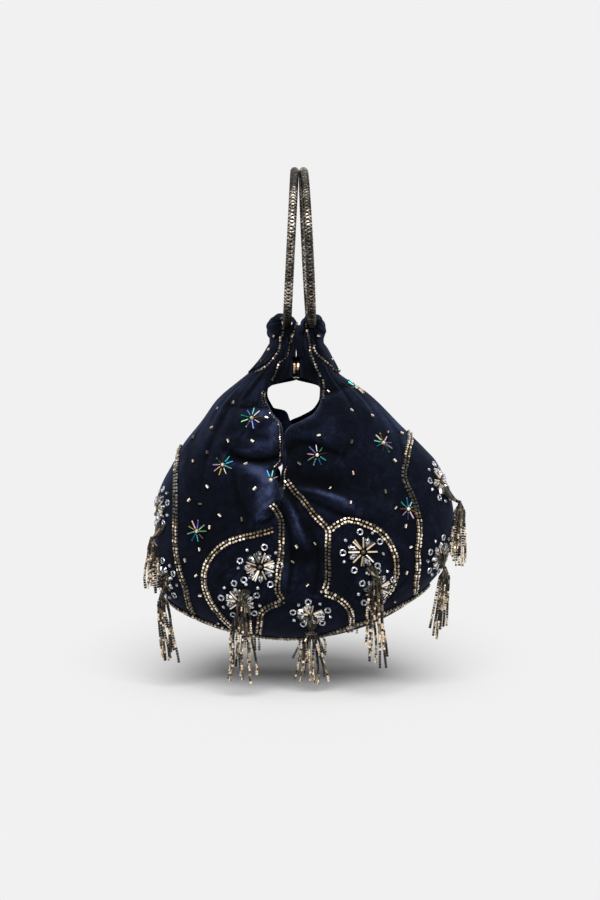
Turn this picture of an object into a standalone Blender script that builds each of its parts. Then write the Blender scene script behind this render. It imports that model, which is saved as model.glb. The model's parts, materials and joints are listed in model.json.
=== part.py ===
"""Velvet potli bag with bead embroidery, bead tassels and a pair of bangle handles.

The bag hangs from its bangles. The origin is the grip, at the top inside of the bangles, X runs to the
right of the front, Y away from it, and a drop is a distance down from the grip.
A place on the cloth is a pair: the turn round the bag (0 at the front, plus to the right, minus to the
left, half a circle at the back) and the height, from 0 at the neck to 1 at the lowest point.
"""

from math import acos, asin, cos, exp, pi, radians, sin

import bmesh
import bpy
from mathutils import Matrix, Vector

# Cloth and beadwork
VELVET = 0.0020
LINING = 0.0008
LINING_DEPTH = 0.0120
SEAM = 0.0010
CLEARANCE = 0.0003
BEAD_ROW_WIDTH = 0.0056
BEAD_ROW_HEIGHT = 0.0018
BEAD_STANDOFF = 0.0010
MOUTH_ROW_LIFT = 0.0008
BEAD_PITCH = 0.0090

# Bangles, and where they turn in the casings
BANGLE_RADIUS = 0.0560
BANGLE_TUBE = 0.00275
BANGLE_TURNS = 12
HINGE_REACH = 0.0085
HINGE_ABOVE_BOTTOM = 0.0027
HINGE_DROP = 2 * BANGLE_RADIUS - BANGLE_TUBE - HINGE_ABOVE_BOTTOM

# Bag body: the neck begins under the bangles
NECK_BELOW_HINGE = 0.01195
NECK_DROP = HINGE_DROP + NECK_BELOW_HINGE
BODY_HEIGHT = 0.2040
LEFT_WIDTH = 0.1020
RIGHT_WIDTH = 0.1090
BODY_DEPTH = 0.0660
SLIT_END_SHARE = 0.466
BASE_FRONT_SHARE = 0.983
FRONT_TURN = 0.0001

# Casings that hold the bangles
CASING_CLOTH = 0.0015
CASING_LENGTH = 0.0490
CASING_RISE = 0.0105
CASING_INNER = 0.0011
LEFT_CASING_OUTER = 0.0220
RIGHT_CASING_OUTER = 0.0195
FLAP_TURN = 44
FLAP = ((0.085, 0.0026), (0.0425, 0.0013), (0.012, 0.0009))
FACING_CLOTH = 0.0012

# Magnetic snap between the necks
SNAP_RADIUS = 0.00675
SNAP_THICKNESS = 0.0025
SNAP_CENTRE_X = -0.0020
SNAP_DROP = NECK_DROP + 0.0155

# Flowers and tassels
FLOWER_RADIUS = 0.0100
FLOWER_WAIST = 0.0048
FLOWER_RISE = 0.0026
STRAND_WIDTH = 0.0030
STRAND_GAP = 0.0011
STRANDS = 3
TASSEL_HEAD = 0.0060

# Outline of each half, as (height, share of that half's width), down to where it rounds in to the base
LEFT_OUTLINE = (
    (0.0, 0.160), (0.05, 0.210), (0.09, 0.262), (0.12, 0.355), (0.20, 0.520), (0.30, 0.705),
    (0.376, 0.825), (0.462, 0.925), (0.548, 0.978), (0.703, 1.0),
)
RIGHT_OUTLINE = (
    (0.0, 0.130), (0.05, 0.185), (0.09, 0.238), (0.12, 0.315), (0.16, 0.430), (0.277, 0.660),
    (0.349, 0.800), (0.397, 0.880), (0.514, 0.970), (0.615, 1.0),
)
LEFT_ROUND = (0.703, 2.4)
RIGHT_ROUND = (0.615, 1.9)
DEPTH_OUTLINE = (
    (0.0, 0.40), (0.09, 0.50), (0.18, 0.67), (0.277, 0.81), (0.40, 0.92), (0.547, 0.985), (0.669, 1.0),
)
DEPTH_ROUND = (0.669, 2.6)

# Mouth edge of each half as (height, x as a share of the body's width), down to the centre line
LEFT_MOUTH = (
    (0.0, -0.074), (0.04, -0.098), (0.088, -0.160), (0.126, -0.194), (0.167, -0.214), (0.219, -0.172),
    (0.274, -0.118), (0.376, -0.105), (0.397, -0.140), (0.425, -0.158), (0.466, -0.154), (0.53, -0.07),
    (0.60, 0.0), (1.0, 0.0),
)
RIGHT_MOUTH = (
    (0.0, 0.047), (0.047, 0.088), (0.085, 0.132), (0.15, 0.141), (0.181, 0.138), (0.219, 0.100),
    (0.245, 0.020), (0.265, -0.050), (0.29, -0.082), (0.376, -0.082), (0.42, -0.100), (0.466, -0.103),
    (0.53, -0.05), (0.60, 0.0), (1.0, 0.0),
)

# Bead lines drawn on the front, as (x as a share of the body's width, height)
LEFT_CENTRE_LINE = (
    (-0.154, 0.466), (-0.178, 0.531), (-0.150, 0.572), (-0.124, 0.610), (-0.120, 0.668), (-0.120, 0.845),
    (-0.118, 0.878), (-0.150, 0.896), (-0.205, 0.905), (-0.270, 0.935), (-0.292, 0.965),
)
RIGHT_CENTRE_LINE = (
    (-0.103, 0.466), (0.040, 0.545), (0.165, 0.612), (0.190, 0.640), (0.192, 0.668), (0.188, 0.830),
    (0.186, 0.852), (0.240, 0.866), (0.325, 0.898), (0.352, 0.935), (0.345, 0.965),
)
LEFT_NICHE = (
    (-0.190, 0.640), (-0.248, 0.645), (-0.360, 0.658), (-0.450, 0.670), (-0.518, 0.690), (-0.585, 0.723),
    (-0.625, 0.764), (-0.632, 0.805), (-0.619, 0.847), (-0.572, 0.893), (-0.492, 0.935), (-0.430, 0.958),
)
RIGHT_NICHE = (
    (0.245, 0.628), (0.285, 0.608), (0.343, 0.600), (0.443, 0.612), (0.531, 0.634), (0.598, 0.668),
    (0.645, 0.715), (0.652, 0.764), (0.638, 0.805), (0.598, 0.850), (0.532, 0.886), (0.470, 0.915),
    (0.440, 0.935),
)

# Side panels: height of the crown, depth of its curve, and (height, half width) from there down
LEFT_ARCH = (0.350, 0.22, ((0.57, 0.038), (0.79, 0.041), (0.90, 0.030), (1.0, 0.016)))
RIGHT_ARCH = (0.300, 0.17, ((0.47, 0.044), (0.668, 0.046), (0.771, 0.040), (0.84, 0.028), (0.90, 0.016)))
LEFT_BASE = (0.868, 3.5)
RIGHT_BASE = (0.820, 2.2)

# Soft forms of the front: x and height of the middle, reach along and across, tilt, and how far it stands out
FRONT_FOLDS = (
    (-0.40, 0.285, 0.26, 0.085, 0.0, 0.0050),
    (-0.27, 0.388, 0.22, 0.050, -0.05, -0.0055),
    (-0.30, 0.490, 0.22, 0.070, 0.0, 0.0050),
    (0.30, 0.320, 0.34, 0.100, 0.0, 0.0055),
    (0.16, 0.440, 0.24, 0.050, 0.10, -0.0045),
    (0.36, 0.520, 0.26, 0.065, 0.0, 0.0035),
    (0.04, 0.700, 0.12, 0.160, 0.0, -0.0060),
)
BACK_FOLDS = (
    (0.30, 0.300, 0.30, 0.100, 0.0, 0.0045),
    (-0.28, 0.330, 0.30, 0.110, 0.0, 0.0050),
    (0.04, 0.700, 0.12, 0.160, 0.0, -0.0060),
)

# Flowers as (name, turn in degrees or x share, height), and tassels with their length
FRONT_FLOWERS = (
    ("upper_left", -0.262, 0.761), ("lower_left", -0.420, 0.868), ("upper_right", 0.430, 0.709),
    ("lower_right", 0.520, 0.822), ("centre", 0.075, 0.916),
)
SIDE_FLOWERS = (
    ("left_upper", -72, 0.548), ("left_lower", -66, 0.785), ("right_upper", 71, 0.459),
    ("right_lower", 65, 0.706),
)
FACE_TASSELS = (
    ("left", -0.350, 0.842, 0.060), ("centre", 0.075, 0.962, 0.042), ("right", 0.470, 0.766, 0.066),
)
SIDE_TASSELS = (
    ("left_upper", -66, 0.651, 0.036), ("left_lower", -65, 0.838, 0.046),
    ("right_upper", 71, 0.531, 0.044), ("right_lower", 66, 0.750, 0.048),
)

for leftover in list(bpy.data.objects):
    bpy.data.objects.remove(leftover, do_unlink=True)
collection = bpy.data.collections.new("Potli bag")
bpy.context.scene.collection.children.link(collection)


def finish(name, colour, metallic, roughness):
    """A plain material in the piece's colour."""
    material = bpy.data.materials.new(name)
    material.use_nodes = True
    shader = material.node_tree.nodes["Principled BSDF"]
    shader.inputs["Base Color"].default_value = (*colour, 1.0)
    shader.inputs["Metallic"].default_value = metallic
    shader.inputs["Roughness"].default_value = roughness
    return material


velvet = finish("navy velvet", (0.010, 0.016, 0.050), 0.0, 0.85)
satin = finish("navy satin", (0.015, 0.022, 0.060), 0.0, 0.45)
beads = finish("champagne glass beads", (0.60, 0.47, 0.33), 0.3, 0.25)
crystal = finish("cut crystal", (0.75, 0.76, 0.78), 0.1, 0.10)
dark_beads = finish("gunmetal glass beads", (0.12, 0.10, 0.08), 0.6, 0.25)
gunmetal = finish("antique gunmetal", (0.20, 0.19, 0.17), 1.0, 0.35)
gold = finish("pale gold plate", (0.72, 0.58, 0.40), 1.0, 0.25)


def add_piece(name, mesh, material, shaded=True):
    """One named object from a mesh, in the bag's collection."""
    mesh.materials.append(material)
    mesh.shade_smooth() if shaded else mesh.shade_flat()
    piece = bpy.data.objects.new(name, mesh)
    collection.objects.link(piece)
    return piece


def mesh_from(name, points, faces):
    """A mesh with its normals turned out."""
    mesh = bpy.data.meshes.new(name)
    mesh.from_pydata([tuple(p) for p in points], [], faces)
    shape = bmesh.new()
    shape.from_mesh(mesh)
    bmesh.ops.recalc_face_normals(shape, faces=shape.faces)
    if shape.calc_volume(signed=True) < 0:
        bmesh.ops.reverse_faces(shape, faces=shape.faces)
    shape.to_mesh(mesh)
    shape.free()
    return mesh


def eased(points, at):
    """The smooth curve through (position, value) points that never overshoots them."""
    if at <= points[0][0]:
        return points[0][1]
    if at >= points[-1][0]:
        return points[-1][1]
    slopes = [(b[1] - a[1]) / (b[0] - a[0]) for a, b in zip(points, points[1:])]
    i = next(k for k in range(len(slopes)) if at <= points[k + 1][0])

    def tangent(k):
        if k == 0 or k == len(slopes):
            return 0.0 if k else slopes[0]
        before, after = slopes[k - 1], slopes[k]
        return 0.0 if before * after <= 0 else 2 * before * after / (before + after)

    width = points[i + 1][0] - points[i][0]
    t = (at - points[i][0]) / width
    start, end = points[i][1], points[i + 1][1]
    return (
        (2 * t**3 - 3 * t**2 + 1) * start + (t**3 - 2 * t**2 + t) * width * tangent(i)
        + (3 * t**2 - 2 * t**3) * end + (t**3 - t**2) * width * tangent(i + 1)
    )


def rounded(outline, turn_in, height):
    """An outline that follows its points and then rounds in to nothing at the lowest point."""
    start, power = turn_in
    if height <= start:
        return eased(outline, height)
    share = min((height - start) / (1 - start), 1.0)
    return (1 - share**power) ** (1 / power)


def half_width(side, height):
    if side < 0:
        return LEFT_WIDTH * rounded(LEFT_OUTLINE, LEFT_ROUND, height)
    return RIGHT_WIDTH * rounded(RIGHT_OUTLINE, RIGHT_ROUND, height)


def body_width():
    return (LEFT_WIDTH + RIGHT_WIDTH) / 2


def half_depth(height):
    return BODY_DEPTH * rounded(DEPTH_OUTLINE, DEPTH_ROUND, height)


def mouth_edge(side, height):
    return body_width() * eased(LEFT_MOUTH if side < 0 else RIGHT_MOUTH, height)


def squareness(height):
    """Exponent of the horizontal section: an ellipse at the neck, fuller below."""
    return 2.0 + 0.3 * min(max(height / 0.5, 0.0), 1.0)


def drop_of(height):
    return NECK_DROP + BODY_HEIGHT * height


def relief(folds, x, height):
    """How far the soft forms stand out of the plain surface."""
    across = x / body_width()
    total = 0.0
    for middle, level, reach, spread, tilt, rise in folds:
        along = (across - middle) / reach
        down = (height - level - tilt * (across - middle)) / spread
        total += rise * exp(-along * along - down * down)
    return total


def surface(turn, height, folded=True):
    """A point of the velvet's outer face, with or without its soft forms."""
    side = -1 if turn < 0 else 1
    angle = abs(turn)
    power = 2 / squareness(height)
    edge = mouth_edge(side, height)
    reach = side * half_width(side, height) - edge
    x = edge + reach * abs(sin(angle)) ** power
    facing = cos(angle)
    outward = 1 if facing > 0 else -1
    depth = half_depth(height) * abs(facing) ** power
    if folded:
        folds = FRONT_FOLDS if facing > 0 else BACK_FOLDS
        depth += relief(folds, x, height) * min(1.0, 1.4 * abs(facing))
    return Vector((x, -outward * depth, -drop_of(height)))


def frame_at(turn, height, folded=True):
    """Directions along the cloth, to the right and down, and out of it, with the cloth's local scales."""
    side = -1 if turn < 0 else 1
    angle = min(max(abs(turn), 0.04), pi - 0.04)
    level = min(max(height, 0.004), 0.994)
    step = 0.02
    rise = 0.004
    right = surface(side * (angle + step), level, folded) - surface(side * (angle - step), level, folded)
    across = right * side / (2 * step)
    low = surface(side * angle, level + rise, folded)
    down = (low - surface(side * angle, level - rise, folded)) / (2 * rise)
    return across, down, down.cross(across).normalized()


def cloth(turn, height, lift=0.0, folded=True):
    """A point of the cloth, raised along its own outward direction."""
    point = surface(turn, height, folded)
    if lift:
        point = point + frame_at(turn, height, folded)[2] * lift
    return point


def moved(place, right, down):
    """The place this far along the cloth, in metres."""
    across_scale, down_scale, _ = frame_at(*place)
    return place[0] + right / across_scale.length, place[1] + down / down_scale.length


def from_front(x, height):
    """The place that is seen at this x from the front."""
    side = -1 if x < mouth_edge(-1, height) or (height > 0.55 and x < 0) else 1
    edge = mouth_edge(side, height)
    share = (x - edge) / (side * half_width(side, height) - edge)
    angle = max(asin(min(max(share, 0.0), 1.0) ** (squareness(height) / 2)), FRONT_TURN)
    return side * angle, height


def from_side(side, y, height):
    """The place that is seen at this y from the side."""
    share = min(abs(y) / half_depth(height), 1.0) ** (squareness(height) / 2)
    angle = acos(share)
    return side * (angle if y < 0 else pi - angle), height


def base_height(turn):
    """Height of the seam that joins the base panel."""
    side_height, power = LEFT_BASE if turn < 0 else RIGHT_BASE
    return BASE_FRONT_SHARE - (BASE_FRONT_SHARE - side_height) * abs(sin(turn)) ** power


def resampled(points, count):
    """The same polyline with evenly spaced points; each point is a tuple of two numbers."""
    path = [Vector(p) for p in points]
    steps = [(b - a).length for a, b in zip(path, path[1:])]
    result = []
    for k in range(count + 1):
        left = sum(steps) * k / count
        i = 0
        while i < len(steps) - 1 and left > steps[i]:
            left -= steps[i]
            i += 1
        result.append(path[i].lerp(path[i + 1], min(left / steps[i], 1.0) if steps[i] else 0.0))
    return result


def smoothed(points, count):
    """A Catmull-Rom curve through the points, evenly resampled."""
    path = [Vector(p) for p in points]
    path = [2 * path[0] - path[1]] + path + [2 * path[-1] - path[-2]]
    dense = []
    for a, b, c, d in zip(path, path[1:], path[2:], path[3:]):
        for k in range(8):
            t = k / 8
            dense.append(0.5 * (2 * b + (c - a) * t + (2 * a - 5 * b + 4 * c - d) * t**2
                                + (3 * b - a - 3 * c + d) * t**3))
    dense.append(path[-2])
    return resampled(dense, count)


def shifted(points, distance):
    """A flat line moved sideways, to its left, by a distance."""
    result = []
    for i, point in enumerate(points):
        ahead = points[min(i + 1, len(points) - 1)] - points[max(i - 1, 0)]
        ahead.normalize()
        result.append(point + Vector((-ahead.y, ahead.x)) * distance)
    return result


def front_line(points, count, shift=0.0):
    """A line drawn on the front as shares becomes flat points in metres: x and drop."""
    flat = [Vector((x * body_width(), drop_of(height))) for x, height in smoothed(points, count)]
    return shifted(flat, shift)


def to_height(drop):
    return (drop - NECK_DROP) / BODY_HEIGHT


def mirrored(places):
    """The same line on the back of the bag."""
    return [((-pi if turn < 0 else pi) - turn, height) for turn, height in places]


def arch_width(side, height):
    """Half width of a side panel below its crown."""
    return eased((LEFT_ARCH if side < 0 else RIGHT_ARCH)[2], height)


def arch_foot(side):
    """Height at which the side seam meets the base seam."""
    height = 0.7
    while height < base_height(from_side(side, -arch_width(side, height), height)[0]):
        height += 0.002
    return height


def arch_line(side, count, shift):
    """Seam of a side panel from the front of the base over the crown to the back, moved out by a shift."""
    crown, rise, widths = LEFT_ARCH if side < 0 else RIGHT_ARCH
    half = widths[0][1]
    foot = arch_foot(side)
    curve = 1.3 * rise * BODY_HEIGHT + half * 0.6
    straight = (foot - crown - rise) * BODY_HEIGHT
    points = []
    for k in range(count + 1):
        share = 1 - k / count * 2
        run = abs(share) * (straight + curve)
        if run <= curve:
            angle = run / curve * pi / 2
            y = (half + shift) * sin(angle)
            height = crown + rise - (rise + shift / BODY_HEIGHT) * cos(angle)
        else:
            height = crown + rise + (run - curve) / BODY_HEIGHT
            y = arch_width(side, height) + shift
        points.append(from_side(side, -y if share > 0 else y, height))
    return points


def closed_sheet(outer, inner, name):
    """A closed body between two grids of points that have the same layout."""
    rows, columns = len(outer), len(outer[0])
    points = [p for row in outer for p in row] + [p for row in inner for p in row]
    under = rows * columns
    faces = []
    for i in range(rows - 1):
        for j in range(columns - 1):
            a, b = i * columns + j, (i + 1) * columns + j
            faces.append((a, a + 1, b + 1, b))
            faces.append((under + a, under + b, under + b + 1, under + a + 1))
    rim = [j for j in range(columns)]
    rim += [i * columns + columns - 1 for i in range(1, rows)]
    rim += [(rows - 1) * columns + j for j in range(columns - 2, -1, -1)]
    rim += [i * columns for i in range(rows - 2, 0, -1)]
    for a, b in zip(rim, rim[1:] + rim[:1]):
        faces.append((a, under + a, under + b, b))
    return mesh_from(name, points, faces)


def lofted(rings, name, closed=False):
    """A closed body through rings of points, capped at both ends unless it runs in a circle."""
    count = len(rings[0])
    points = [p for ring in rings for p in ring]
    faces = []
    for i in range(len(rings) if closed else len(rings) - 1):
        following = (i + 1) % len(rings)
        for j in range(count):
            a, b = i * count + j, i * count + (j + 1) % count
            c, d = following * count + (j + 1) % count, following * count + j
            faces.append((a, b, c, d))
    if not closed:
        faces.append(tuple(range(count)))
        faces.append(tuple((len(rings) - 1) * count + j for j in range(count)))
    return mesh_from(name, points, faces)


def patch(left, right, bottom, top):
    """Places inside four border lines, blended from all four."""
    rows, columns = len(left), len(bottom)
    grid = []
    for i in range(rows):
        u = i / (rows - 1)
        row = []
        for j in range(columns):
            v = j / (columns - 1)
            row.append(tuple(
                (1 - v) * left[i][k] + v * right[i][k] + (1 - u) * bottom[j][k] + u * top[j][k]
                - (1 - u) * (1 - v) * left[0][k] - (1 - u) * v * right[0][k]
                - u * (1 - v) * left[-1][k] - u * v * right[-1][k]
                for k in (0, 1)
            ))
        grid.append(row)
    return grid


def cloth_piece(name, grid, material, depth, thickness):
    """A sheet of cloth over a grid of places: depth below the velvet's outer face, and its thickness."""
    outer = [[cloth(turn, height, -depth) for turn, height in row] for row in grid]
    inner = [[cloth(turn, height, -depth - thickness) for turn, height in row] for row in grid]
    return add_piece(name, closed_sheet(outer, inner, name), material)


def base_edge(first_turn, last_turn, count, gap):
    """The base seam between two turns, moved up by a gap."""
    turns = [first_turn + (last_turn - first_turn) * k / count for k in range(count + 1)]
    return [(turn, base_height(turn) - gap / BODY_HEIGHT) for turn in turns]


def cut_at_base(line, margin):
    """A flat front line that runs down, ended where it meets the base seam less a margin."""
    kept = []
    for point in line:
        turn, height = from_front(point.x, to_height(point.y))
        over = height - base_height(turn) + margin / BODY_HEIGHT
        if over > 0:
            kept.append(kept[-1].lerp(point, last_over / (last_over - over)))
            break
        kept.append(point)
        last_over = over
    return kept


def centre_seam(side, gap):
    """Seam between a half and the centre panel on the front, from the base up to the slit, as places."""
    points = LEFT_CENTRE_LINE if side < 0 else RIGHT_CENTRE_LINE
    line = resampled(cut_at_base(front_line(points, 80), SEAM / 2), SEAM_STEPS)
    line = shifted(line, -side * gap)
    places = [from_front(p.x, to_height(p.y)) for p in line]
    foot = places[-1][0]
    places[-1] = (foot, base_height(foot) - SEAM / 2 / BODY_HEIGHT)
    return places[::-1]


# Velvet halves: each runs from the front seam over the neck to the back, around its side panel
SEAM_STEPS, MOUTH_STEPS, NECK_STEPS, ACROSS, SIDE_STEPS, CENTRE_STEPS = 10, 6, 4, 7, 4, 5
base_turns = {}
for side, word in ((-1, "left"), (1, "right")):
    seam = centre_seam(side, SEAM / 2)
    top_height = seam[-1][1]
    lip = [(side * FRONT_TURN, top_height * (1 - k / MOUTH_STEPS)) for k in range(1, MOUTH_STEPS + 1)]
    neck = [(side * pi / 2 * k / NECK_STEPS, 0.0) for k in range(1, NECK_STEPS + 1)]
    rim = seam + lip + neck
    rim += mirrored(rim[:-1])[::-1]
    arch = arch_line(side, len(rim) - 1, SEAM / 2)
    front = base_edge(arch[0][0], rim[0][0], ACROSS, SEAM / 2)
    back = mirrored(front)
    arch[0], arch[-1] = front[0], back[0]
    base_turns[word] = [turn for turn, _ in front]
    cloth_piece(f"{word}_velvet_half", patch(arch, rim, front, back), velvet, 0.0, VELVET)

    # Side panel: the arched gusset under the bangle
    line = arch_line(side, len(rim) - 1, -SEAM / 2)
    corner = len(rim) // 2 - 4
    edge_front = line[0:corner + 1:2]
    edge_back = mirrored(edge_front)
    crown = line[corner:corner + 9:2]
    foot = base_edge(edge_front[0][0], edge_back[0][0], SIDE_STEPS, SEAM / 2)
    edge_front[0], edge_back[0] = foot[0], foot[-1]
    base_turns[word] += [turn for turn, _ in foot[1:-1]]
    cloth_piece(f"{word}_side_panel", patch(edge_front, edge_back, foot, crown), velvet, 0.0, VELVET)

# Centre panels: the sunken strips under the mouth slit, front and back
left_edge, right_edge = centre_seam(-1, -SEAM / 2), centre_seam(1, -SEAM / 2)
foot = base_edge(left_edge[0][0], right_edge[0][0], CENTRE_STEPS, SEAM / 2)
head = resampled([left_edge[-1], right_edge[-1]], CENTRE_STEPS)
grid = patch(left_edge, right_edge, foot, head)
cloth_piece("front_centre_panel", grid, velvet, 0.0, VELVET)
cloth_piece("back_centre_panel", [mirrored(row) for row in grid], velvet, 0.0, VELVET)

# Base panel: rings from the base seam in to the lowest point, on the same turns as the panels' feet
around = [turn for turn, _ in foot[1:-1]]
for word in ("left", "right"):
    front_turns, side_turns = base_turns[word][:ACROSS + 1], base_turns[word][ACROSS + 1:]
    around += front_turns + side_turns + [turn for turn, _ in mirrored([(t, 0) for t in front_turns])]
around += [turn for turn, _ in mirrored(foot[1:-1])]
around.sort()


def bowl(name, rim_place, turns, rings, material, depth, thickness, folded):
    """A closed bowl from a rim down to the lowest point, as rings of outer face and inner face."""
    faces = []
    for lift in (-depth, -depth - thickness):
        levels = []
        for k in range(rings):
            share = (1 - k / rings) ** 2
            places = [rim_place(turn) for turn in turns]
            levels.append([cloth(turn, 1 - (1 - height) * share, lift, folded) for turn, height in places])
        faces.append(levels)
    return add_piece(name, lofted(faces[0][::-1] + faces[1], name), material)


def base_rim(turn):
    return turn, base_height(turn) + SEAM / 2 / BODY_HEIGHT


def lining_rim(turn):
    return turn, SLIT_END_SHARE + 0.02


bowl("base_panel", base_rim, around, 4, velvet, 0.0, VELVET, True)
lining_turns = [-pi + 2 * pi * (k + 0.5) / 24 for k in range(24)]
bowl("satin_lining", lining_rim, lining_turns, 7, satin, LINING_DEPTH, LINING, False)


def casing_point(side, v, step, inner):
    """A point of the casing's section: up the flap from its hem, then round the loop that holds the bangle."""
    if step < len(FLAP):
        height, lift = FLAP[step]
        lift += 0.0 if inner else CASING_CLOTH
        return cloth(side * (pi / 2 + v * radians(FLAP_TURN)), height, lift)
    outer = LEFT_CASING_OUTER if side < 0 else RIGHT_CASING_OUTER
    wall = CASING_CLOTH if inner else 0.0
    middle, radius = (outer + CASING_INNER) / 2, (outer - CASING_INNER) / 2
    angle = radians(38 + 300 * (step - len(FLAP)) / 8)
    x = middle + (radius - wall) * sin(angle)
    drop = NECK_DROP - 0.0012 - CASING_RISE + (CASING_RISE - wall) * cos(angle)
    return Vector((side * x, v * CASING_LENGTH / 2, -drop))


def facing_point(side, v, height, back):
    """A point of the neck facing, which carries the snap on its middle."""
    edge = side * mouth_edge(side, height)
    snap_face = side * SNAP_CENTRE_X + SNAP_THICKNESS + 1.5 * CLEARANCE
    middle = snap_face if height > 0.03 else max(snap_face, 0.5 * edge)
    x = edge + (middle - edge) * cos(v * pi / 2) ** 1.5
    y = v * (half_depth(height) - VELVET - 0.0016)
    return Vector((side * (x + (FACING_CLOTH if back else 0.0)), y, -drop_of(height)))


for side, word in ((-1, "left"), (1, "right")):
    columns = [-1 + k / 2 for k in range(5)]
    outer = [[casing_point(side, v, step, False) for v in columns] for step in range(12)]
    inner = [[casing_point(side, v, step, True) for v in columns] for step in range(12)]
    add_piece(f"{word}_handle_casing", closed_sheet(outer, inner, "casing"), velvet)
    columns = [-1 + k / 3 for k in range(7)]
    levels = [0.006 + 0.109 * k / 4 for k in range(5)]
    outer = [[facing_point(side, v, level, False) for v in columns] for level in levels]
    inner = [[facing_point(side, v, level, True) for v in columns] for level in levels]
    add_piece(f"{word}_neck_facing", closed_sheet(outer, inner, "facing"), velvet)


def hinge(side):
    """Where a bangle turns in its casing."""
    return Vector((side * HINGE_REACH, 0.0, -HINGE_DROP))


def bangle(side, name):
    """A twisted six-strand ring that leans in until it rests on its neighbour."""
    pivot = hinge(side)
    centre_up = BANGLE_RADIUS - HINGE_ABOVE_BOTTOM
    height = centre_up + BANGLE_RADIUS
    lean = asin((HINGE_REACH - BANGLE_TUBE - CLEARANCE) / height)
    tilt = Matrix.Rotation(-side * lean, 4, "Y")
    rings = []
    for k in range(48):
        around = 2 * pi * k / 48
        middle = Vector((0.0, sin(around), cos(around)))
        ring = []
        for j in range(6):
            angle = 2 * pi * (j / 6 + k * BANGLE_TURNS / 6 / 48)
            point = middle * (BANGLE_RADIUS + BANGLE_TUBE * cos(angle))
            point.x = BANGLE_TUBE * sin(angle)
            point.z += centre_up
            ring.append(tilt @ point)
        rings.append(ring)
    piece = add_piece(name, lofted(rings, name, closed=True), gunmetal)
    piece.location = pivot
    return piece


bangle(-1, "left_bangle")
bangle(1, "right_bangle")


def snap_half(side, name):
    """One turned half of the magnetic snap, its axis along X."""
    profile = (
        (0.0, SNAP_THICKNESS), (SNAP_RADIUS * 0.80, SNAP_THICKNESS), (SNAP_RADIUS, SNAP_THICKNESS * 0.75),
        (SNAP_RADIUS, SNAP_THICKNESS * 0.25), (SNAP_RADIUS * 0.92, 0.0), (0.0, 0.0),
    )
    mesh = bpy.data.meshes.new(name)
    edges = [(k, k + 1) for k in range(len(profile) - 1)]
    mesh.from_pydata([(r, 0.0, z) for r, z in profile], edges, [])
    piece = add_piece(name, mesh, gold)
    turn = piece.modifiers.new("turn", "SCREW")
    turn.axis = "Z"
    turn.steps = turn.render_steps = 18
    turn.use_merge_vertices = True
    turn.merge_threshold = 0.0001
    turn.use_normal_calculate = True
    piece.location = (SNAP_CENTRE_X + side * CLEARANCE / 2, 0.0, -SNAP_DROP)
    piece.rotation_euler = (0.0, side * pi / 2, 0.0)
    return piece


snap_half(-1, "left_snap_half")
snap_half(1, "right_snap_half")


def bead_row(name, places, lift=0.0, closed=False):
    """A double row of tube beads sewn along a line of places, as one low strip."""
    points = [cloth(turn, height, lift) for turn, height in places]
    if closed:
        points.append(points[0])
    length = sum((b - a).length for a, b in zip(points, points[1:]))
    count = max(round(length / BEAD_PITCH), 4)
    run, target, kept = 0.0, 0.0, []
    for k, point in enumerate(points):
        run += (point - points[k - 1]).length if k else 0.0
        if run >= target - 1e-6 and (not closed or k < len(places)):
            kept.append(k)
            target += length / count
    if not closed and kept[-1] != len(points) - 1:
        kept.append(len(points) - 1)
    rings = []
    for index, k in enumerate(kept):
        before = kept[index - 1] if closed or index else k
        after = kept[(index + 1) % len(kept)] if closed or index < len(kept) - 1 else k
        along = (points[after] - points[before]).normalized()
        out = frame_at(*places[k])[2]
        wide = along.cross(out).normalized() * BEAD_ROW_WIDTH / 2
        low, high = points[k] + out * BEAD_STANDOFF, points[k] + out * (BEAD_STANDOFF + BEAD_ROW_HEIGHT)
        rings.append([low - wide, low + wide, high + wide * 0.8, high - wide * 0.8])
    return add_piece(name, lofted(rings, name, closed), beads)


# Bead rows on the seams, the niches, the mouth edges, the casing hems and the base
MARGIN = BEAD_ROW_WIDTH + 0.0016
for side, word in ((-1, "left"), (1, "right")):
    rows = [p for p in arch_line(side, 160, 0.0) if p[1] < base_height(p[0]) - MARGIN / BODY_HEIGHT]
    bead_row(f"{word}_arch_beads", rows)

    inset = side * (BEAD_ROW_WIDTH / 2 + CLEARANCE)
    levels = [k / 40 * SLIT_END_SHARE for k in range(2, 38)]
    edge = [Vector((mouth_edge(side, level) + inset, drop_of(level))) for level in levels]
    centre = front_line(LEFT_CENTRE_LINE if side < 0 else RIGHT_CENTRE_LINE, 60)
    line = cut_at_base(edge + centre[4:], MARGIN)
    places = [from_front(p.x, to_height(p.y)) for p in line]
    bead_row(f"front_{word}_mouth_beads", places, MOUTH_ROW_LIFT)
    bead_row(f"back_{word}_mouth_beads", mirrored(places), MOUTH_ROW_LIFT)

    line = cut_at_base(front_line(LEFT_NICHE if side < 0 else RIGHT_NICHE, 90), MARGIN)
    places = [from_front(p.x, to_height(p.y)) for p in line]
    bead_row(f"front_{word}_niche_beads", places)
    bead_row(f"back_{word}_niche_beads", mirrored(places))

    hem = [(side * (pi / 2 + radians(FLAP_TURN) * (k / 20 - 1)), FLAP[0][0] - 0.016) for k in range(41)]
    bead_row(f"{word}_hem_beads", hem, CASING_CLOTH + FLAP[0][1])

rim = [-pi + 2 * pi * (k + 0.5) / 240 for k in range(240)]
bead_row("base_beads", [(turn, base_height(turn)) for turn in rim], closed=True)


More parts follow.
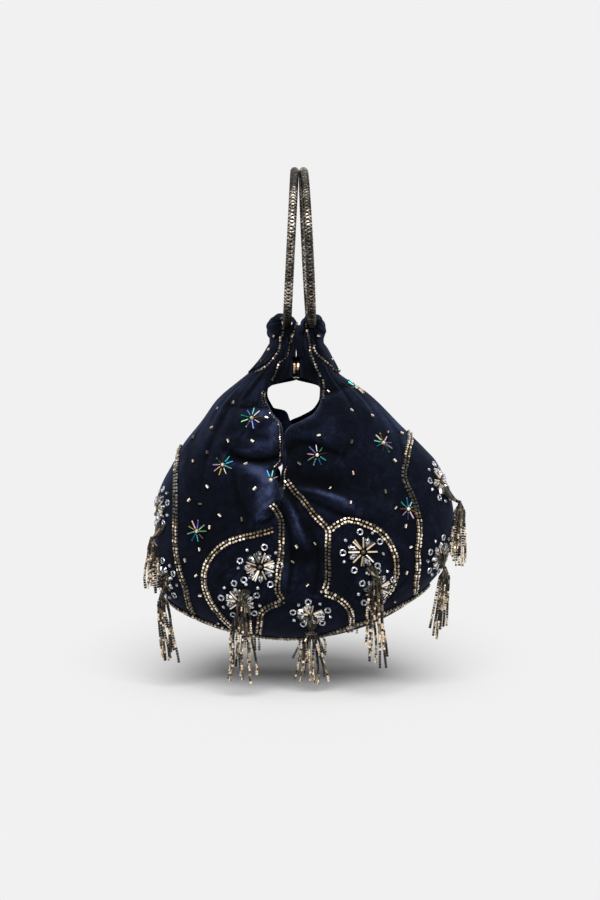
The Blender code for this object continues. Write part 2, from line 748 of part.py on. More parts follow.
def flower(name, place):
    """A crystal flower of eight petals that follows the cloth, its tips low and its middle raised."""
    rings = []
    for lift, share in ((BEAD_STANDOFF, 1.0), (BEAD_STANDOFF + 0.0010, 0.97), (BEAD_STANDOFF + FLOWER_RISE, 0.18)):
        ring = []
        for k in range(16):
            reach = (FLOWER_RADIUS if k % 2 == 0 else FLOWER_WAIST) * share
            reach = reach if share > 0.5 else FLOWER_RADIUS * share
            angle = 2 * pi * k / 16
            ring.append(cloth(*moved(place, reach * cos(angle), reach * sin(angle)), lift))
        rings.append(ring)
    return add_piece(name, lofted(rings, name), crystal, shaded=False)


def across_front(entries):
    return [(name, from_front(x * body_width(), height)) for name, x, height in entries]


def on_sides(entries):
    return [(name, (radians(turn), height)) for name, turn, height in entries]


for name, place in across_front(FRONT_FLOWERS):
    flower(f"front_{name}_flower", place)
    flower(f"back_{name}_flower", mirrored([place])[0])
for name, place in on_sides(SIDE_FLOWERS):
    flower(f"side_{name}_flower", place)


def tassel(name, place, length):
    """A bead tassel: a small head with two rows of strands below it, hung from a stitch on the cloth."""
    out = frame_at(*place)[2]
    away = Vector((out.x, out.y, 0.0)).normalized()
    wide = away.cross(Vector((0.0, 0.0, 1.0)))
    pitch = STRAND_WIDTH + STRAND_GAP
    size = (pitch * STRANDS, pitch * 2)
    stitch = cloth(*place)
    reach = 0.0
    for k in range(12):
        below = place[1] + (TASSEL_HEAD + length) / BODY_HEIGHT * k / 11
        if below < 0.999:
            for step in (-0.12, 0.0, 0.12):
                reach = max(reach, (surface(place[0] + step, below) - stitch).dot(away))
    shape = bmesh.new()
    bmesh.ops.create_grid(shape, x_segments=STRANDS, y_segments=2, size=0.5)
    head = bmesh.ops.extrude_face_region(shape, geom=shape.faces[:])
    top = [v for v in head["geom"] if isinstance(v, bmesh.types.BMVert)]
    for vert in shape.verts:
        vert.co.x *= size[0]
        vert.co.y *= size[1]
        vert.co.z = -TASSEL_HEAD
    for vert in top:
        vert.co = Vector((vert.co.x * 0.35, vert.co.y * 0.35, -0.0012))
    low = [f for f in shape.faces if all(v.co.z < -TASSEL_HEAD + 1e-6 for v in f.verts)]
    low.sort(key=lambda f: (round(f.calc_center_median().y, 5), f.calc_center_median().x))
    bmesh.ops.inset_individual(shape, faces=low, thickness=STRAND_GAP / 2, use_even_offset=True)
    ends = bmesh.ops.extrude_discrete_faces(shape, faces=low)["faces"]
    for k, end in enumerate(ends):
        middle = end.calc_center_median()
        drift = Vector((middle.x * 0.35, middle.y * 0.15, 0.0))
        fall = (length - TASSEL_HEAD) * (1.0 - 0.10 * ((k * 2) % 5) / 2)
        for vert in end.verts:
            vert.co += drift + Vector((0.0, 0.0, -fall))
    bmesh.ops.recalc_face_normals(shape, faces=shape.faces)
    mesh = bpy.data.meshes.new(name)
    shape.to_mesh(mesh)
    shape.free()
    piece = add_piece(name, mesh, dark_beads, shaded=False)
    place_at = stitch + away * (reach + size[1] / 2 + BEAD_STANDOFF + BEAD_ROW_HEIGHT + 0.0012)
    piece.matrix_world = Matrix.Translation(place_at) @ Matrix((wide, away, (0, 0, 1))).transposed().to_4x4()
    return piece


for name, x, height, length in FACE_TASSELS:
    place = from_front(x * body_width(), height)
    tassel(f"front_{name}_tassel", place, length)
    tassel(f"back_{name}_tassel", mirrored([place])[0], length)
for name, turn, height, length in SIDE_TASSELS:
    tassel(f"side_{name}_tassel", (radians(turn), height), length)
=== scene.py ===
"""A velvet potli bag with bead embroidery, crystal flowers, bead tassels and a pair of bangle handles.

X runs to the right of the bag's front, Y away from it and Z up, in metres from the grip under the bangles.
A place on the cloth is a pair: the turn round the bag (0 at the front, plus to the right, half a circle at
the back) and the height, from 0 at the neck to 1 at the lowest point.
"""

import json
from math import asin, cos, pi, radians, sin

import bmesh
import bpy
import numpy as np
from mathutils import Matrix, Vector
from mathutils.bvhtree import BVHTree


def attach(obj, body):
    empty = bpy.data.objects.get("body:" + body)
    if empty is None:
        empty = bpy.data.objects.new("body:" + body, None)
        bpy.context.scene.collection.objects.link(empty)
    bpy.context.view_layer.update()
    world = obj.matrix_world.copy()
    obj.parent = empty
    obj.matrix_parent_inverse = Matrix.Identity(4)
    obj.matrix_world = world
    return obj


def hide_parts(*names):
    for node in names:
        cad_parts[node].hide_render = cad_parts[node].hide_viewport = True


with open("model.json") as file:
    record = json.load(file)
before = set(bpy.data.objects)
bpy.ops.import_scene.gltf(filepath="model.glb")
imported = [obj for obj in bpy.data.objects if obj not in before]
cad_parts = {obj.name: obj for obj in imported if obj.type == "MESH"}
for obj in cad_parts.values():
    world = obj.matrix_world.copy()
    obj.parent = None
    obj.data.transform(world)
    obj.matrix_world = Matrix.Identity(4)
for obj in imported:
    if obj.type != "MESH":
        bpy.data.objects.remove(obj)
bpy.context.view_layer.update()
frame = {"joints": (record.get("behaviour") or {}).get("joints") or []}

# The view: the bag hangs straight in front of a long lens that looks down a little, as in the photograph.
# The picture is 600 by 900 points of 0.7 mm at the bag, so a spot on the front can be named by its point.
# The grip is at the point MIDDLE_TOP, and a search for a spot moves by a little less than it is off.
WIDE, HIGH, POINT = 600, 900, 0.0007
MIDDLE_TOP, SEARCH_STEP = (299, 176), 0.0006
LENS, SENSOR = 85.0, 36.0
FOCUS = HIGH * LENS / SENSOR
VIEW_DISTANCE, LOOKING_DOWN = 1.4875, radians(3.0)
AIM = np.array((0.0007, 0.0, -0.1912))
rightward = np.array((1.0, 0.0, 0.0))
forward = np.array((0.0, cos(LOOKING_DOWN), -sin(LOOKING_DOWN)))
upward = np.array((0.0, sin(LOOKING_DOWN), cos(LOOKING_DOWN)))
eye = AIM - forward * VIEW_DISTANCE

camera = bpy.data.objects.new("camera", bpy.data.cameras.new("camera"))
bpy.context.scene.collection.objects.link(camera)
camera.data.lens = LENS
camera.data.sensor_fit = "VERTICAL"
camera.data.sensor_height = SENSOR
camera.data.sensor_width = SENSOR
camera.location = eye
camera.rotation_euler = (pi / 2 - LOOKING_DOWN, 0.0, 0.0)
camera.data.clip_end = 20.0
bpy.context.scene.camera = camera


def photo_point(points):
    """Where points in space are seen, in points of the picture from its top left corner."""
    away = np.asarray(points) - eye
    scale = FOCUS / (away @ forward)
    return np.stack((WIDE / 2 + away[..., 0] * scale, HIGH / 2 - (away @ upward) * scale), -1)


def sight(spots):
    """The ways from the eye through spots of the picture."""
    spots = np.asarray(spots, float)
    return (forward + (spots[..., :1] - WIDE / 2) / FOCUS * rightward
            - (spots[..., 1:] - HIGH / 2) / FOCUS * upward)


# The bag's shape: soft velvet over thin wadding, cut as two halves that run over the neck, two arched side
# panels, two centre panels and a base. It hangs from the neck, and the weight below pulls it into a pear.
NECK_DROP, BODY_HEIGHT = 0.1185, 0.2040
LEFT_WIDTH, RIGHT_WIDTH, BODY_DEPTH = 0.1020, 0.1090, 0.0660
BODY_WIDTH = (LEFT_WIDTH + RIGHT_WIDTH) / 2
SLIT_END, FRONT_TURN = 0.466, 0.0001


def profile(*points):
    """A smooth curve through (position, value) points, which never overshoots them."""
    spots, values = np.array(points, float).T
    slopes = np.diff(values) / np.diff(spots)
    product, total = slopes[:-1] * slopes[1:], slopes[:-1] + slopes[1:]
    bends = np.where(product > 0, 2 * product / np.where(total == 0, 1, total), 0)
    tangents = np.concatenate(([slopes[0]], bends, [0.0]))

    def value(at):
        at = np.clip(at, spots[0], spots[-1])
        i = np.clip(np.searchsorted(spots, at) - 1, 0, len(slopes) - 1)
        width = spots[i + 1] - spots[i]
        t = (at - spots[i]) / width
        return ((2 * t**3 - 3 * t**2 + 1) * values[i] + (t**3 - 2 * t**2 + t) * width * tangents[i]
                + (3 * t**2 - 2 * t**3) * values[i + 1] + (t**3 - t**2) * width * tangents[i + 1])

    return value


left_outline = profile(
    (0.0, 0.176), (0.034, 0.236), (0.068, 0.294), (0.09, 0.336), (0.12, 0.412), (0.16, 0.505), (0.20, 0.580),
    (0.30, 0.735), (0.376, 0.840), (0.462, 0.930), (0.548, 0.978), (0.703, 1.0),
)
right_outline = profile(
    (0.0, 0.135), (0.02, 0.172), (0.058, 0.218), (0.09, 0.246), (0.12, 0.318), (0.16, 0.430), (0.277, 0.660),
    (0.349, 0.800), (0.397, 0.880), (0.514, 0.970), (0.615, 1.0),
)
depth_outline = profile(
    (0.0, 0.40), (0.09, 0.50), (0.18, 0.67), (0.277, 0.81), (0.40, 0.92), (0.547, 0.985), (0.669, 1.0),
)
left_mouth = profile(
    (0.0, -0.074), (0.04, -0.098), (0.088, -0.160), (0.126, -0.194), (0.167, -0.214), (0.219, -0.172),
    (0.262, -0.108), (0.30, -0.100), (0.376, -0.100), (0.397, -0.136), (0.425, -0.152), (0.448, -0.130),
    (0.466, -0.124), (0.53, -0.06), (0.60, 0.0), (1.0, 0.0),
)
right_mouth = profile(
    (0.0, 0.047), (0.047, 0.088), (0.085, 0.132), (0.15, 0.141), (0.181, 0.138), (0.219, 0.100),
    (0.245, 0.020), (0.265, -0.062), (0.29, -0.092), (0.376, -0.092), (0.42, -0.112), (0.466, -0.114),
    (0.53, -0.05), (0.60, 0.0), (1.0, 0.0),
)


def rounded(outline, start, power, height):
    """An outline that rounds in to nothing at the lowest point."""
    share = np.clip((height - start) / (1 - start), 0, 1)
    return np.where(height <= start, outline(height), (1 - share**power) ** (1 / power))


def half_width(side, height):
    left = LEFT_WIDTH * rounded(left_outline, 0.703, 2.4, height)
    right = RIGHT_WIDTH * rounded(right_outline, 0.615, 1.9, height)
    return np.where(side < 0, left, right)


def half_depth(height):
    return BODY_DEPTH * rounded(depth_outline, 0.669, 2.6, height)


def mouth_edge(side, height):
    return BODY_WIDTH * np.where(side < 0, left_mouth(height), right_mouth(height))


def squareness(height):
    return 2.0 + 0.3 * np.clip(height / 0.5, 0, 1)


def eased(start, end, at):
    """0 before start, 1 after end, smooth between."""
    t = np.clip((at - start) / (end - start), 0, 1)
    return t * t * (3 - 2 * t)


# Broad puffs of the front and back: x and height of the middle, reach to the side, spread in height, slope,
# and how far the velvet stands out there in metres
FRONT_PUFFS = np.array((
    (-0.37, 0.250, 0.24, 0.090, 0.00, 0.0050),
    (-0.25, 0.360, 0.15, 0.052, -0.05, 0.0085),
    (-0.25, 0.490, 0.14, 0.075, 0.05, 0.0105),
    (-0.62, 0.560, 0.22, 0.120, 0.00, 0.0030),
    (0.12, 0.295, 0.22, 0.075, -0.10, 0.0110),
    (0.45, 0.330, 0.26, 0.110, 0.20, 0.0045),
    (0.30, 0.520, 0.26, 0.050, 0.14, 0.0040),
    (0.58, 0.520, 0.16, 0.130, 0.00, 0.0025),
    (0.05, 0.720, 0.14, 0.150, 0.00, -0.0070),
    (-0.36, 0.800, 0.20, 0.090, 0.00, 0.0035),
    (0.42, 0.760, 0.20, 0.090, 0.00, 0.0035),
))
BACK_PUFFS = np.array((
    (0.32, 0.300, 0.26, 0.090, 0.00, 0.0060),
    (-0.30, 0.330, 0.28, 0.110, 0.00, 0.0060),
    (-0.40, 0.540, 0.22, 0.060, 0.00, 0.0040),
    (0.40, 0.560, 0.22, 0.080, 0.00, 0.0040),
    (0.04, 0.680, 0.13, 0.150, 0.00, -0.0080),
))
# Creases and ridges as they are drawn on the photograph: rise in millimetres, half width in points, line
FRONT_CREASES = (
    (-3.2, 4, ((275, 405), (262, 406.5), (250, 403))),
    (-10.0, 6, ((226, 449), (238, 457), (250, 460), (264, 460), (276, 457), (288, 452))),
    (-3.0, 9, ((231, 462), (236, 485), (243, 505), (256, 524))),
    (-3.5, 4, ((256, 522), (266, 521), (276, 514))),
    (-3.0, 4, ((322, 394), (336, 390), (352, 383))),
    (-7.0, 7, ((286, 452), (296, 444), (310, 443), (326, 449), (342, 455))),
    (-4.5, 6, ((300, 497), (316, 503), (334, 511), (352, 519), (368, 523))),
    (-4.0, 5, ((276, 505), (286, 520), (290, 540), (291, 565), (288, 592))),
    (-3.5, 6, ((310, 530), (318, 550), (318, 575), (312, 600))),
    (-2.0, 4, ((352, 601), (370, 588), (388, 573), (402, 560))),
    (-1.6, 4, ((360, 614), (380, 601), (396, 589), (408, 577))),
    (-2.4, 5, ((233, 388), (214, 403), (201, 424), (191, 448), (185, 475))),
    (-1.8, 5, ((246, 388), (229, 409), (216, 432), (206, 458), (200, 490))),
    (-2.0, 5, ((352, 386), (374, 401), (391, 421), (402, 446), (407, 475))),
    (-2.2, 4, ((262, 376), (252, 390), (240, 402))),
    (-1.8, 4, ((330, 376), (343, 390), (352, 404))),
    (-1.6, 5, ((214, 610), (226, 596), (233, 575))),
    (-1.4, 6, ((240, 560), (224, 572), (214, 586))),
    (3.0, 5, ((294, 486), (308, 488), (324, 493), (342, 500), (358, 510))),
    (3.2, 5, ((270, 492), (283, 498), (292, 516), (299, 536), (307, 548))),
    (1.6, 4, ((285, 560), (285.5, 584))),
    (2.4, 6, ((240, 434), (252, 442), (268, 444), (278, 436))),
    (2.6, 6, ((244, 470), (258, 470), (270, 478), (275, 494), (268, 512))),
    (2.0, 6, ((318, 402), (304, 410), (294, 420), (290, 432))),
    (1.5, 5, ((372, 392), (392, 410), (404, 430))),
)
BACK_CREASES = (
    (-7.0, 6, ((226, 446), (242, 455), (262, 458), (282, 452))),
    (-5.0, 7, ((300, 447), (318, 446), (340, 452), (360, 462))),
    (-3.5, 6, ((330, 500), (350, 512), (372, 518))),
    (-2.4, 5, ((236, 388), (216, 404), (202, 428), (192, 455))),
    (-2.2, 5, ((352, 386), (374, 403), (391, 425), (402, 452))),
    (-3.0, 6, ((288, 500), (292, 540), (290, 590))),
    (2.4, 6, ((240, 470), (258, 476), (270, 492))),
)
CELL = 0.0005
MAP_X, MAP_DROP = np.arange(-0.120, 0.1201, CELL), np.arange(-0.030, 0.2101, CELL)
raised = [np.zeros((len(MAP_DROP), len(MAP_X)))] * 2


def looked_up(maps, in_front, x, height):
    """The values of the front's or the back's map at spots of the cloth."""
    across = np.clip((x - MAP_X[0]) / CELL, 0, len(MAP_X) - 1.001)
    down = np.clip((height * BODY_HEIGHT - MAP_DROP[0]) / CELL, 0, len(MAP_DROP) - 1.001)
    i, j = down.astype(int), across.astype(int)
    u, v = down - i, across - j
    values = []
    for field in maps:
        top = field[i, j] * (1 - v) + field[i, j + 1] * v
        low = field[i + 1, j] * (1 - v) + field[i + 1, j + 1] * v
        values.append(top * (1 - u) + low * u)
    return np.where(in_front, *values)


# How far the mouth edge rolls in, how high the gathers stand and how uneven the sides are
MOUTH_ROLL, GATHER, SWELL = 0.0095, 0.0008, 0.0006


def velvet_surface(turn, height):
    """The velvet's outer face at places on the cloth, as points."""
    turn, height = np.broadcast_arrays(np.asarray(turn, float), np.asarray(height, float))
    side = np.where(turn < 0, -1.0, 1.0)
    angle = np.abs(turn)
    power = 2 / squareness(height)
    edge = mouth_edge(side, height)
    reach = np.abs(side * half_width(side, height) - edge)
    from_edge = reach * np.sin(np.minimum(angle, pi - angle)) ** power
    x = edge + side * from_edge
    facing = np.cos(angle)
    depth = half_depth(height) * np.abs(facing) ** power
    depth = depth + np.minimum(1.0, 1.4 * np.abs(facing)) * looked_up(raised, facing > 0, x, height)
    # the cloth rolls in at the mouth edge
    roll = np.minimum(MOUTH_ROLL, 0.45 * reach) * (1 - 0.5 * eased(0.25, 0.29, height))
    roll = roll * (1 - eased(0.40, 0.47, height)) + 1e-6
    inside = np.clip(1 - from_edge / roll, 0, 1)
    depth = depth - roll * (1 - np.sqrt(1 - inside**2)) * 0.9
    # gathers that run down from the neck and soften towards the middle of the bag
    gathers = np.sin(angle * 17 + side * 0.7) * 0.6 + np.sin(angle * 29 + height * 9 + side) * 0.4
    wave = gathers * (np.exp(-((height - 0.16) / 0.15) ** 2) * GATHER * np.minimum(1, angle * 3))
    # a slight unevenness round the sides
    swell = SWELL * np.sin(23 * height - 13 * x / BODY_WIDTH + 2 * angle) * np.sin(angle) ** 2
    swell = swell * eased(0.05, 0.2, height) * (1 - eased(0.85, 0.95, height))
    return np.stack((
        x + np.sin(angle) * side * (wave + swell),
        np.where(facing > 0, -1.0, 1.0) * (depth + np.abs(facing) * (wave + swell)),
        -(NECK_DROP + BODY_HEIGHT * height),
    ), -1)


def cloth_frame(turn, height):
    """Directions across and down the cloth, per unit of turn and of height, and the way out of it."""
    turn, height = np.broadcast_arrays(np.asarray(turn, float), np.asarray(height, float))
    side = np.where(turn < 0, -1.0, 1.0)
    angle = np.clip(np.abs(turn), 0.05, pi - 0.05)
    level = np.clip(height, 0.006, 0.992)
    step, rise = 0.02, 0.004
    across = velvet_surface(side * (angle + step), level) - velvet_surface(side * (angle - step), level)
    across = across * side[..., None] / (2 * step)
    down = velvet_surface(side * angle, level + rise) - velvet_surface(side * angle, level - rise)
    down = down / (2 * rise)
    out = np.cross(down, across)
    return across, down, out / np.linalg.norm(out, axis=-1, keepdims=True)


def cloth(turn, height, lift=0.0):
    """Points of the cloth, raised along its own way out."""
    return velvet_surface(turn, height) + cloth_frame(turn, height)[2] * np.asarray(lift)[..., None]


def from_front(x, height):
    """The places seen at these x from straight ahead."""
    side = np.where((x < mouth_edge(-1, height)) | ((height > 0.55) & (x < 0)), -1.0, 1.0)
    edge = mouth_edge(side, height)
    share = np.clip((x - edge) / (side * half_width(side, height) - edge), 0, 1)
    turn = np.maximum(np.arcsin(share ** (squareness(height) / 2)), FRONT_TURN)
    return np.stack((side * turn, height), -1)


def seen_at(spots):
    """The places on the front that are seen at these spots of the photograph."""
    spots = np.array(spots, float)
    x, drop = ((spots - MIDDLE_TOP) * POINT).T
    for _ in range(12):
        places = from_front(x, np.clip((drop - NECK_DROP) / BODY_HEIGHT, 0.0, 0.995))
        miss = spots - photo_point(velvet_surface(*places.T))
        x, drop = x + miss[:, 0] * SEARCH_STEP, drop + miss[:, 1] * SEARCH_STEP
    return places


def evenly(points, count):
    """A line of points or places, spaced evenly along its length; further columns go along with them."""
    points = np.asarray(points, float)
    run = np.concatenate(([0], np.cumsum(np.linalg.norm(np.diff(points[:, :3], axis=0), axis=1))))
    at = np.linspace(0, run[-1], count)
    return np.stack([np.interp(at, run, points[:, k]) for k in range(points.shape[1])], -1)


def curved(points, count):
    """A smooth line through points, spaced evenly."""
    points = np.asarray(points, float)
    path = np.concatenate((2 * points[:1] - points[1:2], points, 2 * points[-1:] - points[-2:-1]))
    t = np.arange(12)[:, None] / 12
    parts = []
    for a, b, c, d in zip(path, path[1:], path[2:], path[3:]):
        parts.append(0.5 * (2 * b + (c - a) * t + (2 * a - 5 * b + 4 * c - d) * t**2
                            + (3 * b - a - 3 * c + d) * t**3))
    return evenly(np.concatenate(parts + [points[-1:]]), count)


def beside_line(spots, x, drop):
    """How far spots of a map are from a line drawn on the photograph, and how far along it they lie."""
    places = seen_at(curved(spots, 24))
    line = velvet_surface(*places.T)
    line = np.stack((line[:, 0], -line[:, 2] - NECK_DROP), -1)
    nearest, share = np.full(x.shape, 9.0), np.zeros(x.shape)
    for k, (a, b) in enumerate(zip(line, line[1:])):
        along = b - a
        t = np.clip(((x - a[0]) * along[0] + (drop - a[1]) * along[1]) / (along @ along), 0, 1)
        gap = np.hypot(x - a[0] - t * along[0], drop - a[1] - t * along[1])
        share = np.where(gap < nearest, (k + t) / (len(line) - 1), share)
        nearest = np.minimum(nearest, gap)
    return nearest, share


def relief_map(puffs, creases):
    """The map of all puffs and creases of one face, in metres."""
    x, drop = np.meshgrid(MAP_X, MAP_DROP)
    across = x[..., None] / BODY_WIDTH - puffs[:, 0]
    down = drop[..., None] / BODY_HEIGHT - puffs[:, 1] - puffs[:, 4] * across
    total = np.sum(puffs[:, 5] * np.exp(-(across / puffs[:, 2]) ** 2 - (down / puffs[:, 3]) ** 2), -1)
    for rise, width, spots in creases:
        nearest, share = beside_line(spots, x, drop)
        fall = np.exp(-(nearest / (width * POINT)) ** (2 if rise > 0 else 1.5))
        total = total + rise * 0.001 * fall * np.sin(pi * np.clip(share, 0.04, 0.96)) ** 0.6
    # small uneven swells, and fine wrinkles that fan out from the neck
    reach = np.hypot(x, drop + 0.02)
    fan = np.sin(np.arctan2(x, drop + 0.02) * 23 + 18 * reach) * np.exp(-((reach - 0.055) / 0.030) ** 2)
    swell = np.sin(150 * x + 45 * drop) * np.sin(95 * drop - 30 * x) * 0.6
    swell = swell + np.sin(310 * x - 190 * drop + 2 * np.sin(60 * drop)) * 0.25
    return total + 0.0004 * fan + 0.0007 * swell * eased(0.01, 0.05, drop)


raised = [relief_map(FRONT_PUFFS, FRONT_CREASES), relief_map(BACK_PUFFS, BACK_CREASES)]

# Painted light on the velvet: painted sheen that makes it pale (plus) and painted shade that makes it dark
# (minus), drawn in points of the picture, with its half width in points. Sharp ridges also get painted sheen
# and creases painted shade.
FRONT_PAINTED_LIGHT = (
    (0.34, 8, ((263, 443), (271, 434), (277, 424), (275, 414))),
    (0.22, 3, ((223, 439), (232, 437), (243, 437))),
    (0.18, 1.5, ((235, 449), (247, 450.5), (258, 448))),
    (0.22, 5, ((257, 404), (262, 408), (266, 413))),
    (0.30, 5, ((239, 465), (248, 466), (257, 470), (264, 477))),
    (0.46, 8, ((254, 470), (264, 479), (266, 487), (265, 495), (261, 502), (257, 509))),
    (0.30, 4, ((255, 523), (262, 519), (271, 519))),
    (0.34, 3, ((253, 519), (262, 509), (272, 502))),
    (0.18, 2, ((222, 396), (207, 413), (193, 431), (180, 450))),
    (0.16, 2, ((198, 436), (188, 452), (181, 466), (177, 484))),
    (0.22, 3, ((252, 383), (243, 386), (234, 391))),
    (0.24, 3, ((292, 422), (301, 417), (312, 412), (319, 403), (326, 396))),
    (0.34, 7, ((363, 395), (375, 407), (387, 418), (397, 429), (405, 441), (411, 453))),
    (0.34, 2.5, ((300, 489), (317, 491), (330, 495), (341, 499), (351, 505))),
    (0.14, 9, ((305, 500), (325, 504), (345, 511))),
    (0.10, 20, ((372, 470), (388, 490), (384, 518))),
    (0.38, 2.5, ((286, 500), (292, 508), (297, 521), (303, 534), (307, 546))),
    (0.12, 2.5, ((350, 602), (368, 590), (386, 576), (400, 562))),
    (0.12, 2, ((296, 584), (306, 592), (318, 598))),
    (-0.34, 9, ((286, 452), (297, 449), (308, 450), (318, 456))),
    (-0.38, 8, ((292, 477), (308, 480), (325, 482), (346, 489))),
    (-0.46, 3, ((230, 457), (250, 459), (268, 459), (284, 456))),
    (-0.16, 11, ((240, 482), (246, 496), (243, 512))),
    (-0.42, 8, ((286, 550), (300, 554), (320, 554))),
    (-0.30, 4, ((284, 506), (283, 522))),
    (-0.30, 5, ((322, 390), (330, 388), (338, 386))),
    (-0.12, 14, ((196, 490), (200, 530), (202, 560))),
    (-0.12, 12, ((228, 420), (238, 412), (246, 402))),
)
BACK_PAINTED_LIGHT = (
    (0.40, 8, ((240, 470), (256, 476), (266, 488), (264, 502))),
    (0.30, 6, ((226, 436), (246, 440), (262, 436))),
    (0.30, 6, ((363, 395), (387, 418), (405, 441))),
    (0.28, 3, ((302, 490), (322, 494), (344, 503))),
    (-0.40, 5, ((228, 448), (248, 457), (280, 453))),
    (-0.34, 7, ((300, 450), (322, 450), (350, 460))),
    (-0.30, 8, ((288, 520), (290, 560))),
)
PAINTED_LIGHT_LEVEL, PAINTED_RIDGE_SHEEN, PAINTED_CREASE_SHADE = 0.46, 0.16, 0.22
painted_velvet_light = []
map_x, map_drop = np.meshgrid(MAP_X, MAP_DROP)
for field, strokes in zip(raised, (FRONT_PAINTED_LIGHT, BACK_PAINTED_LIGHT)):
    slope_z, slope_x = np.gradient(field, CELL)
    bend = np.gradient(slope_z, CELL, axis=0) + np.gradient(slope_x, CELL, axis=1)
    painted_level = PAINTED_LIGHT_LEVEL + PAINTED_RIDGE_SHEEN * eased(30, 170, -bend) - PAINTED_CREASE_SHADE * eased(40, 240, bend)
    for strength, width, spots in strokes:
        nearest, share = beside_line(spots, map_x, map_drop)
        fade = np.sin(pi * np.clip(share, 0.06, 0.94)) ** 0.5
        painted_level = painted_level + strength * fade * np.exp(-(nearest / (width * POINT)) ** 2)
    painted_velvet_light.append(np.clip(painted_level, 0, 1))


def on_back(places):
    """The same places on the back of the bag."""
    turn = places[..., 0]
    return np.stack((np.where(turn < 0, -pi, pi) - turn, places[..., 1]), -1)


def base_height(turn):
    """Height of the seam that joins the base."""
    foot = np.where(turn < 0, 0.868, 0.820)
    return 0.983 - (0.983 - foot) * np.abs(np.sin(turn)) ** np.where(turn < 0, 3.5, 2.2)


def from_side(side, y, height):
    """The places seen at these y from the side."""
    share = np.clip(np.abs(y) / half_depth(height), 0, 1) ** (squareness(height) / 2)
    angle = np.arccos(share)
    return np.stack((side * np.where(y < 0, angle, pi - angle), height), -1)


arch_widths = {
    -1: profile((0.57, 0.0412), (0.79, 0.0444), (0.90, 0.0335), (1.0, 0.018)),
    1: profile((0.47, 0.0465), (0.668, 0.0485), (0.771, 0.0425), (0.84, 0.0300), (0.90, 0.0172)),
}


def arch_line(side, count, gap):
    """The side panel's seam, from the front of the base over its crown to the back."""
    crown, rise = (0.350, 0.22) if side < 0 else (0.300, 0.17)
    half = float(arch_widths[side](0.0))
    levels = np.linspace(0.7, 0.99, 400)
    spots = from_side(side, -arch_widths[side](levels), levels)
    foot = levels[np.argmax(levels >= base_height(spots[:, 0]))]
    curve = 1.3 * rise * BODY_HEIGHT + half * 0.6
    share = 1 - np.arange(count + 1) / count * 2
    run = np.abs(share) * ((foot - crown - rise) * BODY_HEIGHT + curve)
    angle = np.minimum(run / curve, 1) * pi / 2
    over = (half + gap) * np.sin(angle), crown + rise - (rise + gap / BODY_HEIGHT) * np.cos(angle)
    straight_height = crown + rise + np.maximum(run - curve, 0) / BODY_HEIGHT
    straight = arch_widths[side](straight_height) + gap, straight_height
    y = np.where(run <= curve, over[0], straight[0])
    height = np.where(run <= curve, over[1], straight[1])
    return from_side(side, np.where(share > 0, -y, y), height)


def patch(left, right, bottom, top):
    """Places inside four border lines, blended from all four."""
    u = np.linspace(0, 1, len(left))[:, None, None]
    v = np.linspace(0, 1, len(bottom))[None, :, None]
    corners = (
        (1 - u) * (1 - v) * left[0] + (1 - u) * v * right[0] + u * (1 - v) * left[-1] + u * v * right[-1]
    )
    return (1 - v) * left[:, None] + v * right[:, None] + (1 - u) * bottom[None] + u * top[None] - corners


def base_edge(first, last, count, gap):
    turns = np.linspace(first, last, count)
    return np.stack((turns, base_height(turns) - gap / BODY_HEIGHT), -1)


# The centre seams as they are seen in the photograph, from the foot of the mouth down to the base
LEFT_CENTRE_SEAM = (
    (283, 494), (280, 504), (279, 518), (280, 532), (280, 549), (278.5, 568), (276.5, 582), (277, 592),
    (281, 600), (274, 604), (266, 608), (261, 613), (260.5, 622), (259.5, 634), (258, 646),
)
RIGHT_CENTRE_SEAM = (
    (287, 485), (292, 490), (300, 499), (309, 510), (318, 520), (327, 531), (328, 545), (328, 560),
    (327.5, 585), (325, 591), (335, 594), (344, 599), (350, 607), (350, 618), (347, 630), (345, 642),
)
SIDES = (-1, "left"), (1, "right")
SEAM, THICKNESS = 0.0004, 0.0020
SEAM_POINTS, MOUTH_POINTS, NECK_POINTS, ACROSS = 70, 80, 36, 64


def centre_seam(side, gap):
    """Seam between a half and the centre panel, from the base up to the foot of the mouth, as places."""
    line = seen_at(curved(LEFT_CENTRE_SEAM if side < 0 else RIGHT_CENTRE_SEAM, 160))
    line = line[: np.argmax(line[:, 1] > base_height(line[:, 0]) - 0.002)]
    line[:, 0] += side * gap / 0.11
    line = evenly(line, SEAM_POINTS)
    line[-1, 1] = base_height(line[-1, 0]) - SEAM / BODY_HEIGHT
    return line[::-1]


# Velvet: silk pile on a woven ground, dyed deep navy. The pile drinks light, so the cloth is matt and close
# to black. Its colour is picked by the painted sheen and painted shade written on each piece, with a soft
# random mottle, and the shader's own sheen makes it paler at grazing angles.
VELVET_TONES = ((0.0, "#020304"), (0.28, "#04060a"), (0.48, "#090c15"), (0.68, "#131827"),
                (0.86, "#252b42"), (1.0, "#363e5a"))
VELVET_HAZE = "#8a98c4"


def linear(colour):
    """An sRGB hex colour as linear values."""
    values = [int(colour[k:k + 2], 16) / 255 for k in (1, 3, 5)]
    return [v / 12.92 if v <= 0.04045 else ((v + 0.055) / 1.055) ** 2.4 for v in values] + [1.0]


def add(owner, kind, *links, ramp=(), inputs=(), **settings):
    """Adds a node, sets it, and links (its input, a node, that node's output)."""
    node = owner.node_tree.nodes.new("ShaderNode" + kind)
    for name, value in settings.items():
        setattr(node, name, value)
    for name, value in dict(inputs).items():
        node.inputs[name].default_value = value
    for k, (spot, colour) in enumerate(ramp):
        elements = node.color_ramp.elements
        element = elements[k] if k < len(elements) else elements.new(spot)
        element.position, element.color = spot, linear(colour)
    for name, source, output in links:
        owner.node_tree.links.new(source.outputs[output], node.inputs[name])
    return node


def new_material(name):
    material = bpy.data.materials.new(name)
    material.use_nodes = True
    return material


def texture(material, kind="TexNoise", **inputs):
    """A texture laid on in the object's own metres."""
    place = add(material, "TexCoord")
    return add(material, kind, ("Vector", place, "Object"), inputs=inputs)


